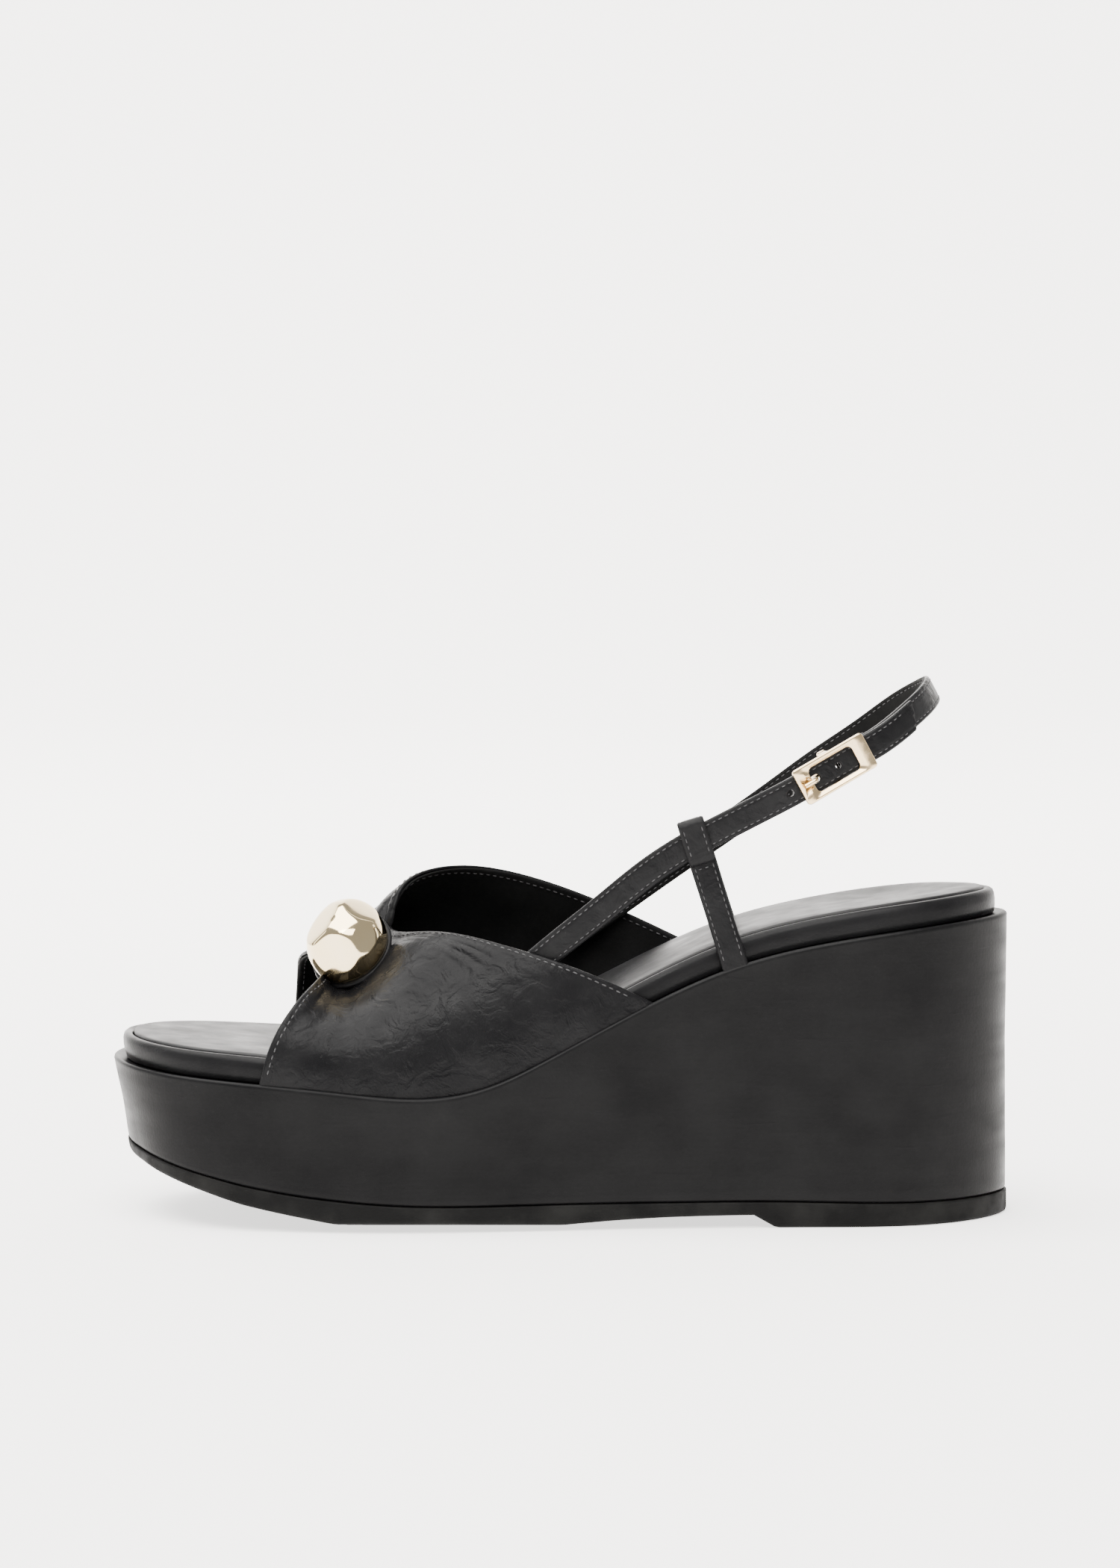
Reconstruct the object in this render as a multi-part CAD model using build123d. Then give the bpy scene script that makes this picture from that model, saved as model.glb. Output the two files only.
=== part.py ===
from build123d import *
import math
import os

# A left platform wedge sandal: toe at -X, heel at +X, outer (lateral) side at -Y, ground at Z = 0.
# All lengths in millimetres. The origin is on the ground, under the middle of the overall box.

# ---- driving dimensions -------------------------------------------------------------------

# Outer wall of the wedge seen from above, at the height of the toe rim, from the heel round by the
# lateral side, the toe and the medial side.
FOOTPRINT = [
    (122.2, -1), (113, -20), (95, -31.2), (68, -34), (38, -35.4), (5, -38.8), (-32, -43.8),
    (-60, -43.8), (-84, -40.3), (-106, -31.5), (-118.5, -16), (-122.5, 3), (-119.5, 20),
    (-109, 33.5), (-86, 42), (-58, 44.2), (-28, 42.8), (14, 36.6), (50, 33.2), (80, 32.2),
    (102, 28), (115.5, 16),
]
TOE_LEAN = 0.18                # the toe wall leans out this much per millimetre of height
TOE_RIM_HEIGHT = 42.5
LEAN_START = -85.0             # the lean fades in between here and the toe tip
LEAN_FULL = -118.0

# Side profiles as (x, z): the top rim of the wedge, the seam over the outsole and the ground side.
RIM = [
    (-132, 43.8), (-117, 42.2), (-103.6, 41.0), (-80.7, 39.4), (-57, 37.3), (-33, 36.1),
    (-18.5, 39.1), (-4, 45.7), (25, 60.9), (44, 69.3), (69, 76.0), (97, 80.2), (132, 83.2),
]
SEAM = [
    (-132, 22.5), (-118, 19.0), (-109, 16.8), (-90, 13.0), (-75, 10.4), (-59, 8.4), (-43, 7.2),
    (-10, 6.9), (40, 7.0), (53, 7.0), (70, 6.7), (90, 6.3), (132, 6.2),
]
UNDERSIDE = [(-132, 20.5), (-116.6, 15.1), (-103, 11.4), (-90, 8.2), (-78, 5.6), (-64, 3.0), (-50, 0.8), (-38, 0)]
ARCH = [(-18, 0), (0, 1.4), (25, 2.9), (52, 3.4)]
HEEL_PAD_START = 58.0
CAMBER_FLAT = 21.0             # half width of the flat middle of the ball, before it rounds up
CAMBER_RISE = 3.0              # rise of the rounded edge under the ball
OUTSOLE_PROUD = 0.3            # the outsole stands this much outside the wedge

COVER = 1.2                    # leather wrapped over the wedge
COVER_MARGIN = 14.0            # how far it is turned over the top and under the bottom
FOOTBED_INSET = 3.5            # ledge between wedge wall and footbed
BOARD = 2.0
FOOTBED_HEIGHT = 6.8
RAND = 1.0                     # leather band round the footbed edge
RAND_MARGIN = 10.0
SOCK = 0.8
SOCK_INSET = 3.0               # from the footbed edge

UPPER_OUTER = 1.0              # outer leather of the vamp
UPPER_LINING = 0.8
SEAM_Y = 3.0                   # where the two vamp halves meet under the ornament

STRAP_WIDTH = 7.5
STRAP_OUTER = 1.0
STRAP_LINING = 0.9
HEEL_LEAN = 28.0               # degrees the band leans in behind the heel
FLEX_GAP = 0.3                 # slit between the front straps and the swinging part
TAIL_LIFT = 2.05               # the hole strap rides this far outside the heel strap
HOLE = 1.8
HOLE_PITCH = 7.4

KEEPER_WIDTH = 7.3
KEEPER_LEATHER = 1.2
KEEPER_ROOM = 0.35
KEEPER_FEET = [(46.9, -33.3, 70.4), (47.4, 31.5, 70.5)]   # outer then inner side, on the ledge

BUCKLE_LENGTH = 22.0
BUCKLE_WIDTH = 10.3
BUCKLE_WINDOW = (13.6, 7.0)
BUCKLE_PLATE = 1.2
BUCKLE_GAP = 0.8               # between the hole strap and the plates
BAR_RADIUS = 1.0
BAR_SINK = 1.05                # the bar sits this far inside the middle of the heel strap
PIN_CLEARANCE = 0.05
PRONG = 1.3

GEM_RADIUS = 10.7
GEM_STRETCH = 1.12             # the pebble is this much longer up its face than across it
GEM_HEIGHT = 14.0
GEM_BACKING = 1.6
GEM_SEAT = Vector(-53.3, -5.0, 66.0)
GEM_AXIS = Vector(-0.33, -0.66, 0.675).normalized()
GEM_STANDOFF = 8.4             # backing to the middle of the vamp leather, over the gathers
POST_RADIUS = 1.5

# The strap's centre line: outer side of the vamp, keeper, buckle, heel, and back along the inner side.
NEAR_FRONT = [(-14, -32.2, 64.6), (-4.4, -30.9, 72.9), (11, -31.8, 85.4), (24, -32.6, 96.0), (36.4, -33, 103.9)]
NEAR_PIVOT = (44.4, -32.9, 108.1)
BUCKLE_AT = Vector(72.3, -28.1, 123.1)
BUCKLE_RUN = Vector(0.852, 0.22, 0.4755).normalized()
HEEL_ROUND = [(93.5, -18.7, 136.4), (99.3, -9.7, 140.9), (101.2, 0, 142.9), (99.3, 9.7, 141.4), (93.5, 18.4, 137.2)]
FAR_BACK = [(84.5, 24.9, 130.0), (72, 29.3, 121.1), (60, 31.5, 112.1)]
FAR_PIVOT = (45.8, 32.7, 101.9)
FAR_FRONT = [(38.8, 32.6, 97.1), (14.7, 31.7, 80.2), (0, 31.0, 69.8)]

# Vamp leather as ribs from the gathered waist down to the ledge, front rib first.
WAIST = [(-64.5, SEAM_Y, 69.3), (-60, SEAM_Y, 70.4), (-55.5, SEAM_Y, 71.8), (-51, SEAM_Y, 73.6), (-46.5, SEAM_Y, 76.8)]
OUTER_RIBS = [
    [(-64.2, -8, 66.5), (-65.5, -22, 65.5), (-71.2, -33.5, 60), (-77.1, -39.3, 50), (-80.5, -39.3, 38)],
    [(-60, -8, 64.6), (-60.5, -21, 61.4), (-61, -33, 56.5), (-61, -40.3, 47.5), (-61, -41.4, 35)],
    [(-55, -8, 65.5), (-52.5, -22, 63.6), (-47.5, -34.3, 58.8), (-42, -40.6, 48), (-38, -41.4, 33.5)],
    [(-49.5, -8, 70.5), (-42.5, -22, 72.4), (-32.5, -33.5, 65.5), (-21, -38.8, 54), (-12, -38.8, 39)],
    [(-43, -9, 76.7), (-30, -22, 77.7), (-11, -31.5, 74.6), (8, -35, 68.6), (27, -34.3, 59.8)],
]
INNER_RIBS = [
    [(-66.5, 12, 69.2), (-71.3, 23, 67.2), (-73.6, 33, 62.6), (-74.4, 39.2, 52.5), (-75.5, 39.8, 38)],
    [(-60, 12, 73.4), (-60, 24, 72.5), (-60.2, 34.5, 65.5), (-60.3, 41, 53), (-60.3, 41.6, 35)],
    [(-54, 11, 77.5), (-49, 23, 79), (-43.5, 33.5, 71), (-38, 40, 55), (-35, 41, 34)],
    [(-48.5, 9, 82.5), (-40, 19, 87), (-25, 30, 81), (-7, 37, 65), (2, 36, 46)],
    [(-43.5, 6, 86.5), (-36, 11, 91.7), (-20, 22, 91.8), (10, 33, 82.0), (43, 31.4, 66.8)],
]


# ---- helpers ------------------------------------------------------------------------------


def lean(x):
    """Share of the toe lean felt at this x."""
    return min(1.0, max(0.0, (LEAN_START - x) / (LEAN_START - LEAN_FULL)))


def outline(z, inset):
    """Footprint wire at height z, moved in from the outer wall by inset."""
    points = []
    count = len(FOOTPRINT)
    for i, (x, y) in enumerate(FOOTPRINT):
        before, after = FOOTPRINT[i - 1], FOOTPRINT[(i + 1) % count]
        run = Vector(after[0] - before[0], after[1] - before[1], 0).normalized()
        inward = Vector(run.Y, -run.X, 0)
        forward = TOE_LEAN * (z - TOE_RIM_HEIGHT) * lean(x)
        points.append(Vector(x - forward, y, z) + inward * inset)
    return Wire([Edge.make_spline(points, periodic=True)])


def column(inset):
    """Upright body over the footprint, tall enough for every layer."""
    return Solid.make_loft([outline(-10, inset), outline(110, inset)], ruled=True)


def band(bottom, top):
    """Slab between two side profiles, wide enough for every layer."""
    low = Spline(*[(x, z) for x, z in bottom])
    high = Spline(*[(x, z) for x, z in top])
    sides = Line(low @ 1, high @ 1) + Line(low @ 0, high @ 0)
    return extrude(Plane.XZ * make_face(low + high + sides), 60, both=True)


def raised(profile, height):
    """The same side profile, higher by height."""
    return [(x, z + height) for x, z in profile]


def single(shape):
    """The largest solid of a result."""
    return max(shape.solids(), key=lambda s: s.volume)


# ---- sole and footbed ---------------------------------------------------------------------


def make_outsole():
    """Rubber outsole: sprung toe, ball rounded up at its edges, shallow arch, thick heel pad."""
    front = Spline(*UNDERSIDE, tangents=[(1, -0.35), (1, 0)])
    flat = Line(front @ 1, ARCH[0])
    arch = Spline(*ARCH, tangents=[(1, 0), (1, 0.02)])
    step = Polyline(arch @ 1, (HEEL_PAD_START, 0), (132, 0), SEAM[-1])
    seam = Spline(*SEAM)
    toe = Line(seam @ 0, front @ 0)
    profile = make_face(front + flat + arch + step + seam + toe)
    slab = extrude(Plane.XZ * profile, 60, both=True)
    body = single(slab & column(-OUTSOLE_PROUD))
    half = 46.0
    mid = ((CAMBER_FLAT + half) / 2, CAMBER_RISE * 0.3)
    right = ThreePointArc((CAMBER_FLAT, 0), mid, (half, CAMBER_RISE))
    left = ThreePointArc((-half, CAMBER_RISE), (-mid[0], mid[1]), (-CAMBER_FLAT, 0))
    base = Line((-CAMBER_FLAT, 0), (CAMBER_FLAT, 0))
    frame = Polyline((half, CAMBER_RISE), (half, -5), (-half, -5), (-half, CAMBER_RISE))
    under = extrude(Plane.YZ.offset(-132) * make_face(base + right + left + frame), 132 + ARCH[-1][0])
    return single(body - under)


def make_wedge():
    """Whole platform from the outsole seam to the rim, before it is split into core and cover."""
    return single(band(SEAM, RIM) & column(0))


def make_core(wedge):
    """Light core: in from the cover all round, full height inside the turned margins."""
    inner = band(raised(SEAM, COVER), raised(RIM, -COVER)) & column(COVER)
    middle = wedge & column(COVER_MARGIN)
    return single(inner + middle)


def make_footbed():
    """Whole footbed over the rim, before it is split into board, pad and rand."""
    return single(band(RIM, raised(RIM, FOOTBED_HEIGHT)) & column(FOOTBED_INSET))


def make_board():
    """Stiff insole board under the pad."""
    return single(band(RIM, raised(RIM, BOARD)) & column(FOOTBED_INSET + RAND))


def make_pad():
    """Foam pad: lower under the turned edge of the rand, full height inside it."""
    edge = band(raised(RIM, BOARD), raised(RIM, FOOTBED_HEIGHT - RAND)) & column(FOOTBED_INSET + RAND)
    middle = band(raised(RIM, BOARD), raised(RIM, FOOTBED_HEIGHT)) & column(FOOTBED_INSET + RAND_MARGIN)
    return single(edge + middle)


def make_sock():
    """Top sheet under the foot."""
    top = band(raised(RIM, FOOTBED_HEIGHT), raised(RIM, FOOTBED_HEIGHT + SOCK))
    return single(top & column(FOOTBED_INSET + SOCK_INSET))


# ---- vamp ---------------------------------------------------------------------------------


def leather(face, thickness):
    """Closed sheet grown from a face to one side."""
    return Solid.thicken(face, thickness)


def vamp_face(ribs):
    """Curved surface through the ribs of one vamp half."""
    rows = [[start] + rib for start, rib in zip(WAIST, ribs)]
    return Face.make_surface_from_array_of_points(rows, tol=0.01, min_deg=3)


def outward(face, side):
    """Sign that makes thickening go away from the foot; side is the half's y sign."""
    middle = face.normal_at(face.position_at(0.5, 0.6))
    return 1 if middle.Y * side > 0 else -1


def make_vamp(ribs, side, blockers):
    """Outer leather and lining of one half, ended on the ledge and at the seam."""
    face = vamp_face(ribs)
    sign = outward(face, side)
    keep = Pos(0, SEAM_Y + side * 50.05, 60) * Box(400, 100, 200)
    layers = []
    for thickness in (sign * UPPER_OUTER, -sign * UPPER_LINING):
        sheet = leather(face, thickness) & keep
        for blocker in blockers:
            sheet = sheet - blocker
        layers.append(single(sheet))
    return layers


# ---- straps -------------------------------------------------------------------------------

RUN = [-14, -7, 0, 7, 14]
STRAP_POINTS = (
    NEAR_FRONT + [NEAR_PIVOT]
    + [BUCKLE_AT + BUCKLE_RUN * s for s in RUN]
    + HEEL_ROUND + FAR_BACK + [FAR_PIVOT] + FAR_FRONT
)
STRAP_LINE = Edge.make_spline([Vector(*p) for p in STRAP_POINTS])


def along(point):
    """Share of the strap line's length at a point on it."""
    return STRAP_LINE.param_at_point(Vector(*point))


def strap_frame(t):
    """Point, run, outward and up directions of the band at a share t of its length."""
    at = STRAP_LINE.position_at(t)
    run = STRAP_LINE.tangent_at(t)
    flat = run.cross(Vector(0, 0, 1)).normalized()
    rise = flat.cross(run).normalized()
    tip = math.radians(HEEL_LEAN) * abs(run.Y) ** 1.5
    out = flat * math.cos(tip) + rise * math.sin(tip)
    up = rise * math.cos(tip) - flat * math.sin(tip)
    return at, run, out, up


def strip(t0, t1, inner, outer, lift=lambda t: 0.0, count=14):
    """Band between two offsets from the strap line, from t0 to t1."""
    sections = []
    for i in range(count + 1):
        t = t0 + (t1 - t0) * i / count
        at, run, out, up = strap_frame(t)
        shift = lift(t)
        a = at + out * (inner + shift)
        b = at + out * (outer + shift)
        half = up * (STRAP_WIDTH / 2)
        sections.append(Wire.make_polygon([a - half, b - half, b + half, a + half]))
    return Solid.make_loft(sections)


def gate(t, direction):
    """Half space from the strap point at t, toward direction along the run."""
    at, run, _, _ = strap_frame(t)
    plane = Plane(origin=at, z_dir=run * direction)
    return plane * Pos(0, 0, 15) * Box(16, 16, 30)


def flex_cylinder(radius):
    """Cylinder on the line both straps fold about."""
    near, far = Vector(*NEAR_PIVOT), Vector(*FAR_PIVOT)
    plane = Plane(origin=near - (far - near) * 0.1, z_dir=far - near)
    return plane * Cylinder(radius, (far - near).length * 1.2, align=(Align.CENTER, Align.CENTER, Align.MIN))


def swing_end(piece, t, direction):
    """Round the end of a swinging strap about the fold line."""
    return single(piece - (gate(t, direction) - flex_cylinder(STRAP_WIDTH / 2 + 0.02)))


def fixed_end(piece):
    """Hollow the end of a fixed strap so the swinging end turns in it."""
    return single(piece - flex_cylinder(STRAP_WIDTH / 2 + 0.02 + FLEX_GAP))


MM = 1 / STRAP_LINE.length
T_NEAR = along(NEAR_PIVOT)
T_FAR = along(FAR_PIVOT)
T_BAR = along(tuple(BUCKLE_AT))
PRONG_HOLE = -5.8              # prong hole to bar, along the strap
TAIL_END = 26.6                # tail tip past the bar


def make_front_straps(linings):
    """Fixed strap ends between the vamp linings and the fold line, outer leather then lining, per side."""
    pieces = []
    for t0, t1, lining in ((0, T_NEAR, linings[0]), (T_FAR, 1, linings[1])):
        for inner, outer in ((0, STRAP_OUTER), (-STRAP_LINING, 0)):
            pieces.append(single(fixed_end(strip(t0, t1, inner, outer)) - lining))
    return pieces


def hole_lift(t):
    """The hole strap climbs from the strap line onto the heel strap before the buckle."""
    share = min(1.0, max(0.0, ((t - T_BAR) / MM + 26) / 17))
    return TAIL_LIFT * (3 * share**2 - 2 * share**3)


def strap_hole(s, length=0.0):
    """Punch through the hole strap at distance s from the bar; length stretches it."""
    at, run, out, up = strap_frame(T_BAR + s * MM)
    plane = Plane(origin=at, x_dir=run, z_dir=out)
    if length:
        return plane * extrude(SlotCenterToCenter(length, HOLE + 0.3), 8, both=True)
    return plane * Cylinder(HOLE / 2, 16)


def make_hole_strap():
    """Strap with size holes: outer leather then lining, ended at an upright cut."""
    t0, t1 = T_NEAR - 6 * MM, T_BAR + (TAIL_END + 6) * MM
    at, run, out, up = strap_frame(T_BAR + TAIL_END * MM)
    level = Vector(run.X, run.Y, 0).normalized()
    tail = Plane(origin=at, z_dir=level) * Pos(0, 0, 10) * Box(30, 30, 20)
    pieces = []
    for inner, outer in ((0, STRAP_OUTER), (-STRAP_LINING, 0)):
        piece = strip(t0, t1, inner, outer, hole_lift, 20) - tail
        piece = swing_end(piece, T_NEAR, -1)
        for i in (-1, 1, 2):
            piece = piece - strap_hole(PRONG_HOLE + i * HOLE_PITCH)
        pieces.append(single(piece - strap_hole(PRONG_HOLE, 0.9)))
    return pieces


# ---- buckle -------------------------------------------------------------------------------


def buckle_plane(turned=False):
    """Plane at the middle of the strap: x along it, then z outward, or y outward when turned."""
    at, run, out, up = strap_frame(T_BAR)
    return Plane(origin=at, x_dir=run, z_dir=-up if turned else out)


def make_fold():
    """End of the heel strap's outer leather: round the bar and stitched back inside, slotted for the prong."""
    inner, outer = BAR_RADIUS + PIN_CLEARANCE, BAR_RADIUS + PIN_CLEARANCE + STRAP_OUTER
    turn = Pos(0, -BAR_SINK) * (Circle(outer) - Circle(inner))
    turn = turn & Pos(-5, -BAR_SINK) * Rectangle(10, 10)
    low, flat = -BAR_SINK - outer, -STRAP_LINING - 0.02
    flap = make_face(Polyline(
        (0, low), (0, low + STRAP_OUTER), (5, flat), (13, flat), (13, flat - STRAP_OUTER), (5, flat - STRAP_OUTER), (0, low)
    ))
    top = Pos(2, STRAP_OUTER / 2) * Rectangle(4, STRAP_OUTER)
    body = extrude(buckle_plane(True) * (turn + flap + top), STRAP_WIDTH / 2, both=True)
    slot = buckle_plane() * Pos(-0.3, 0, -1) * Box(5.4, PRONG + 0.8, 8)
    return body, slot


def make_heel_strap():
    """Strap from the buckle bar round the heel to the inner fold line: outer leather then lining."""
    fold, slot = make_fold()
    t1 = T_FAR + 6 * MM
    outer = strip(T_BAR, t1, 0, STRAP_OUTER, count=30) + fold - slot
    lining = strip(T_BAR, t1, -STRAP_LINING, 0, count=30) - gate(T_BAR + 3 * MM, -1)
    return [swing_end(piece, T_FAR, 1) for piece in (outer, lining)]


def make_buckle_frame():
    """Window plate over the strap with a lug each side down to the bar."""
    low = TAIL_LIFT + STRAP_OUTER + BUCKLE_GAP
    plate = extrude(RectangleRounded(BUCKLE_LENGTH, BUCKLE_WIDTH, 1.0), BUCKLE_PLATE)
    window = extrude(RectangleRounded(*BUCKLE_WINDOW, 1.4), 3 * BUCKLE_PLATE, both=True)
    plate = Pos(0, 0, low) * (plate - window)
    notch = Pos(-BUCKLE_LENGTH / 2 + 2.9, 0, low + BUCKLE_PLATE) * Box(3.2, PRONG + 0.8, 1.7)
    lug_y = (BUCKLE_WIDTH + STRAP_WIDTH + 0.6) / 4
    lug_x = (BUCKLE_WIDTH - STRAP_WIDTH - 0.6) / 2
    foot = -BAR_SINK - BAR_RADIUS - 0.5
    frame = plate - notch
    for side in (-1, 1):
        lug = Pos(0, side * lug_y, (low + foot) / 2) * Box(3.0, lug_x, low - foot)
        frame = frame + lug
    bar_hole = Pos(0, 0, -BAR_SINK) * Rot(90, 0, 0) * Cylinder(BAR_RADIUS, 20)
    return single(buckle_plane() * (frame - bar_hole))


def make_buckle_bar():
    """Round bar between the lugs."""
    return single(buckle_plane() * Pos(0, 0, -BAR_SINK) * Rot(90, 0, 0) * Cylinder(BAR_RADIUS, BUCKLE_WIDTH))


def make_prong():
    """Eye round the bar, then a pin forward, out through the hole and onto the front plate."""
    top = TAIL_LIFT + STRAP_OUTER + BUCKLE_GAP + BUCKLE_PLATE
    path = FilletPolyline(
        (-1.3, -0.75), (PRONG_HOLE + 0.1, 0.0), (PRONG_HOLE, top + 0.2), (-9.6, top + 0.2), radius=1.1
    )
    line = buckle_plane(True) * path
    pin = sweep(Plane(origin=line @ 0, z_dir=line % 0) * Circle(PRONG / 2), path=line)
    ring = Circle(BAR_RADIUS + PIN_CLEARANCE + 0.75) - Circle(BAR_RADIUS + PIN_CLEARANCE)
    eye = extrude(buckle_plane(True) * Pos(0, -BAR_SINK) * ring, PRONG / 2, both=True)
    hole = buckle_plane(True) * extrude(Pos(0, -BAR_SINK) * Circle(BAR_RADIUS + PIN_CLEARANCE), 5, both=True)
    return single(eye + pin - hole)


# ---- keepers ------------------------------------------------------------------------------


def make_keeper(foot, strap_at, wedge):
    """Leather strip folded round the strap and stitched to itself down to the ledge."""
    foot, crown = Vector(*foot), Vector(*strap_at)
    sway = crown.Y - foot.Y
    rise = crown - foot - Vector(0, sway, 0)
    reach = rise.length
    plane = Plane(origin=foot, x_dir=Vector(0, 1, 0), z_dir=Vector(0, 1, 0).cross(rise))
    wide = STRAP_OUTER + STRAP_LINING + 2 * KEEPER_ROOM
    tall = STRAP_WIDTH + 2 * (KEEPER_ROOM + 1.0)
    ring = RectangleRounded(wide + 2 * KEEPER_LEATHER, tall + 2 * KEEPER_LEATHER, 1.9)
    ring = ring - RectangleRounded(wide, tall, 0.8)
    top = reach - tall / 2 - KEEPER_LEATHER / 2
    t = KEEPER_LEATHER
    stem = make_face(Polyline((-t, -4), (t, -4), (t, 0), (sway + t, top), (sway - t, top), (-t, 0), (-t, -4)))
    section = Pos(sway, reach) * ring + stem
    return single(extrude(plane * section, KEEPER_WIDTH / 2, both=True) - wedge)


# ---- ornament -----------------------------------------------------------------------------


def gem_plane(height):
    """Plane square to the ornament's axis, at a height over the vamp leather; y runs up its face."""
    across = Vector(0, 0, 1).cross(GEM_AXIS).normalized()
    return Plane(origin=GEM_SEAT + GEM_AXIS * height, x_dir=across, z_dir=GEM_AXIS)


def make_gem():
    """Pebble dome with a flat back and a blind hole for the post."""
    r, h = GEM_RADIUS, GEM_HEIGHT
    side = Spline((r - 0.8, 0), (r, 0.28 * h), (0.8 * r, 0.68 * h), (0, h), tangents=[(0.6, 1), (-1, 0)])
    profile = make_face(Line((0, 0), (r - 0.8, 0)) + side + Line((0, h), (0, 0)))
    dome = scale(revolve(Plane.XZ * profile, Axis.Z), by=(1, GEM_STRETCH, 1))
    hole = Cylinder(POST_RADIUS, 4, align=(Align.CENTER, Align.CENTER, Align.MIN))
    return single(gem_plane(GEM_STANDOFF + GEM_BACKING) * (dome - hole))


def make_backing(blockers):
    """Leather disc under the pebble, cut to sit on the gathers."""
    disc = extrude(Ellipse(GEM_RADIUS + 0.5, GEM_RADIUS * GEM_STRETCH + 0.5), GEM_BACKING)
    hole = Cylinder(POST_RADIUS, 10)
    body = gem_plane(GEM_STANDOFF) * (disc - hole)
    for blocker in blockers:
        body = body - blocker
    return single(body)


def make_post():
    """Stud from inside the pebble through the vamp to the washer."""
    length = 4 + GEM_BACKING + GEM_STANDOFF + 4.2
    stud = Cylinder(POST_RADIUS, length, align=(Align.CENTER, Align.CENTER, Align.MAX))
    head = Pos(0, 0, -length) * Cylinder(3.0, 1.0, align=(Align.CENTER, Align.CENTER, Align.MAX))
    return single(gem_plane(GEM_STANDOFF + GEM_BACKING + 4) * (stud + head))


def make_washer():
    """Washer that spreads the post's pull on the inside of the vamp."""
    ring = Cylinder(5.0, 1.2) - Cylinder(POST_RADIUS, 4)
    return single(gem_plane(-4.2 + 0.6) * ring)


# ---- everything together ------------------------------------------------------------------


def build():
    """All nodes by name."""
    nodes = {}
    wedge = make_wedge()
    nodes["outsole"] = make_outsole()
    nodes["wedge_core"] = make_core(wedge)
    nodes["wedge_cover"] = single(wedge - nodes["wedge_core"])
    footbed = make_footbed()
    nodes["insole_board"] = make_board()
    nodes["foam_pad"] = make_pad()
    nodes["footbed_rand"] = single(footbed - nodes["insole_board"] - nodes["foam_pad"])
    nodes["sock_lining"] = make_sock()
    washer = make_washer()
    bore = gem_plane(0) * Cylinder(POST_RADIUS + PIN_CLEARANCE, 30)
    blockers = [wedge, footbed, washer, bore]
    lateral = make_vamp(OUTER_RIBS, -1, blockers)
    medial = make_vamp(INNER_RIBS, 1, blockers)
    nodes["vamp_lateral_outer"], nodes["vamp_lateral_lining"] = lateral
    nodes["vamp_medial_outer"], nodes["vamp_medial_lining"] = medial
    nodes["ornament"] = make_gem()
    nodes["ornament_backing"] = make_backing(lateral + medial)
    nodes["ornament_post"] = make_post()
    nodes["ornament_washer"] = washer
    nodes["keeper_lateral"] = make_keeper(KEEPER_FEET[0], NEAR_FRONT[-1], wedge)
    nodes["keeper_medial"] = make_keeper(KEEPER_FEET[1], FAR_FRONT[0], wedge)
    fronts = make_front_straps((lateral[1], medial[1]))
    names = ("lateral_outer", "lateral_lining", "medial_outer", "medial_lining")
    for name, piece in zip(names, fronts):
        nodes["front_strap_" + name] = piece
    nodes["hole_strap_outer"], nodes["hole_strap_lining"] = make_hole_strap()
    nodes["heel_strap_outer"], nodes["heel_strap_lining"] = make_heel_strap()
    nodes["buckle_frame"] = make_buckle_frame()
    nodes["buckle_bar"] = make_buckle_bar()
    nodes["buckle_prong"] = make_prong()
    return nodes


os.makedirs("parts", exist_ok=True)
for node, shape in build().items():
    export_step(shape, f"parts/{node}.step")
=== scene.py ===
import math

import bmesh
import bpy
import numpy as np
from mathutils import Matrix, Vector


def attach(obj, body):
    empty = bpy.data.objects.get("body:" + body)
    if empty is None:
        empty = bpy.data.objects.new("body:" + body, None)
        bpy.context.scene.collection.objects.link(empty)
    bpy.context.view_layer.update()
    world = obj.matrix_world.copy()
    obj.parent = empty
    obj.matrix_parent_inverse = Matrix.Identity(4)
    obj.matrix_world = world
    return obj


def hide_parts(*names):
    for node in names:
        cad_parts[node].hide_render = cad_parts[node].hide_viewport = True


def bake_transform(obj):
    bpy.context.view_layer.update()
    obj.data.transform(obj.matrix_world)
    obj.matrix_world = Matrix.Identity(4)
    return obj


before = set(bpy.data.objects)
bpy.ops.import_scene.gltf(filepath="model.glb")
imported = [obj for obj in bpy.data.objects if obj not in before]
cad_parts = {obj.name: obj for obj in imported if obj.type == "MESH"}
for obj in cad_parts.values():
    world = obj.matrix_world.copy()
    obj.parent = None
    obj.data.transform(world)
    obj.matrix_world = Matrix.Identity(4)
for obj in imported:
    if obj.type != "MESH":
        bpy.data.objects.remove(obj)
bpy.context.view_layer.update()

# A left wedge sandal. Shapes are worked out in millimetres, in the frame of the CAD model, and
# turned into metres when a mesh is made: toe at -X, outer side at -Y, up is +Z.
MM = 0.001

# ---- the same driving dimensions as the CAD model ----

FOOTPRINT = [
    (122.2, -1), (113, -20), (95, -31.2), (68, -34), (38, -35.4), (5, -38.8), (-32, -43.8),
    (-60, -43.8), (-84, -40.3), (-106, -31.5), (-118.5, -16), (-122.5, 3), (-119.5, 20),
    (-109, 33.5), (-86, 42), (-58, 44.2), (-28, 42.8), (14, 36.6), (50, 33.2), (80, 32.2),
    (102, 28), (115.5, 16),
]
TOE_LEAN = 0.18
TOE_RIM_HEIGHT = 42.5
LEAN_START, LEAN_FULL = -85.0, -118.0
RIM = [
    (-132, 43.8), (-117, 42.2), (-103.6, 41.0), (-80.7, 39.4), (-57, 37.3), (-33, 36.1),
    (-18.5, 39.1), (-4, 45.7), (25, 60.9), (44, 69.3), (69, 76.0), (97, 80.2), (132, 83.2),
]
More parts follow.
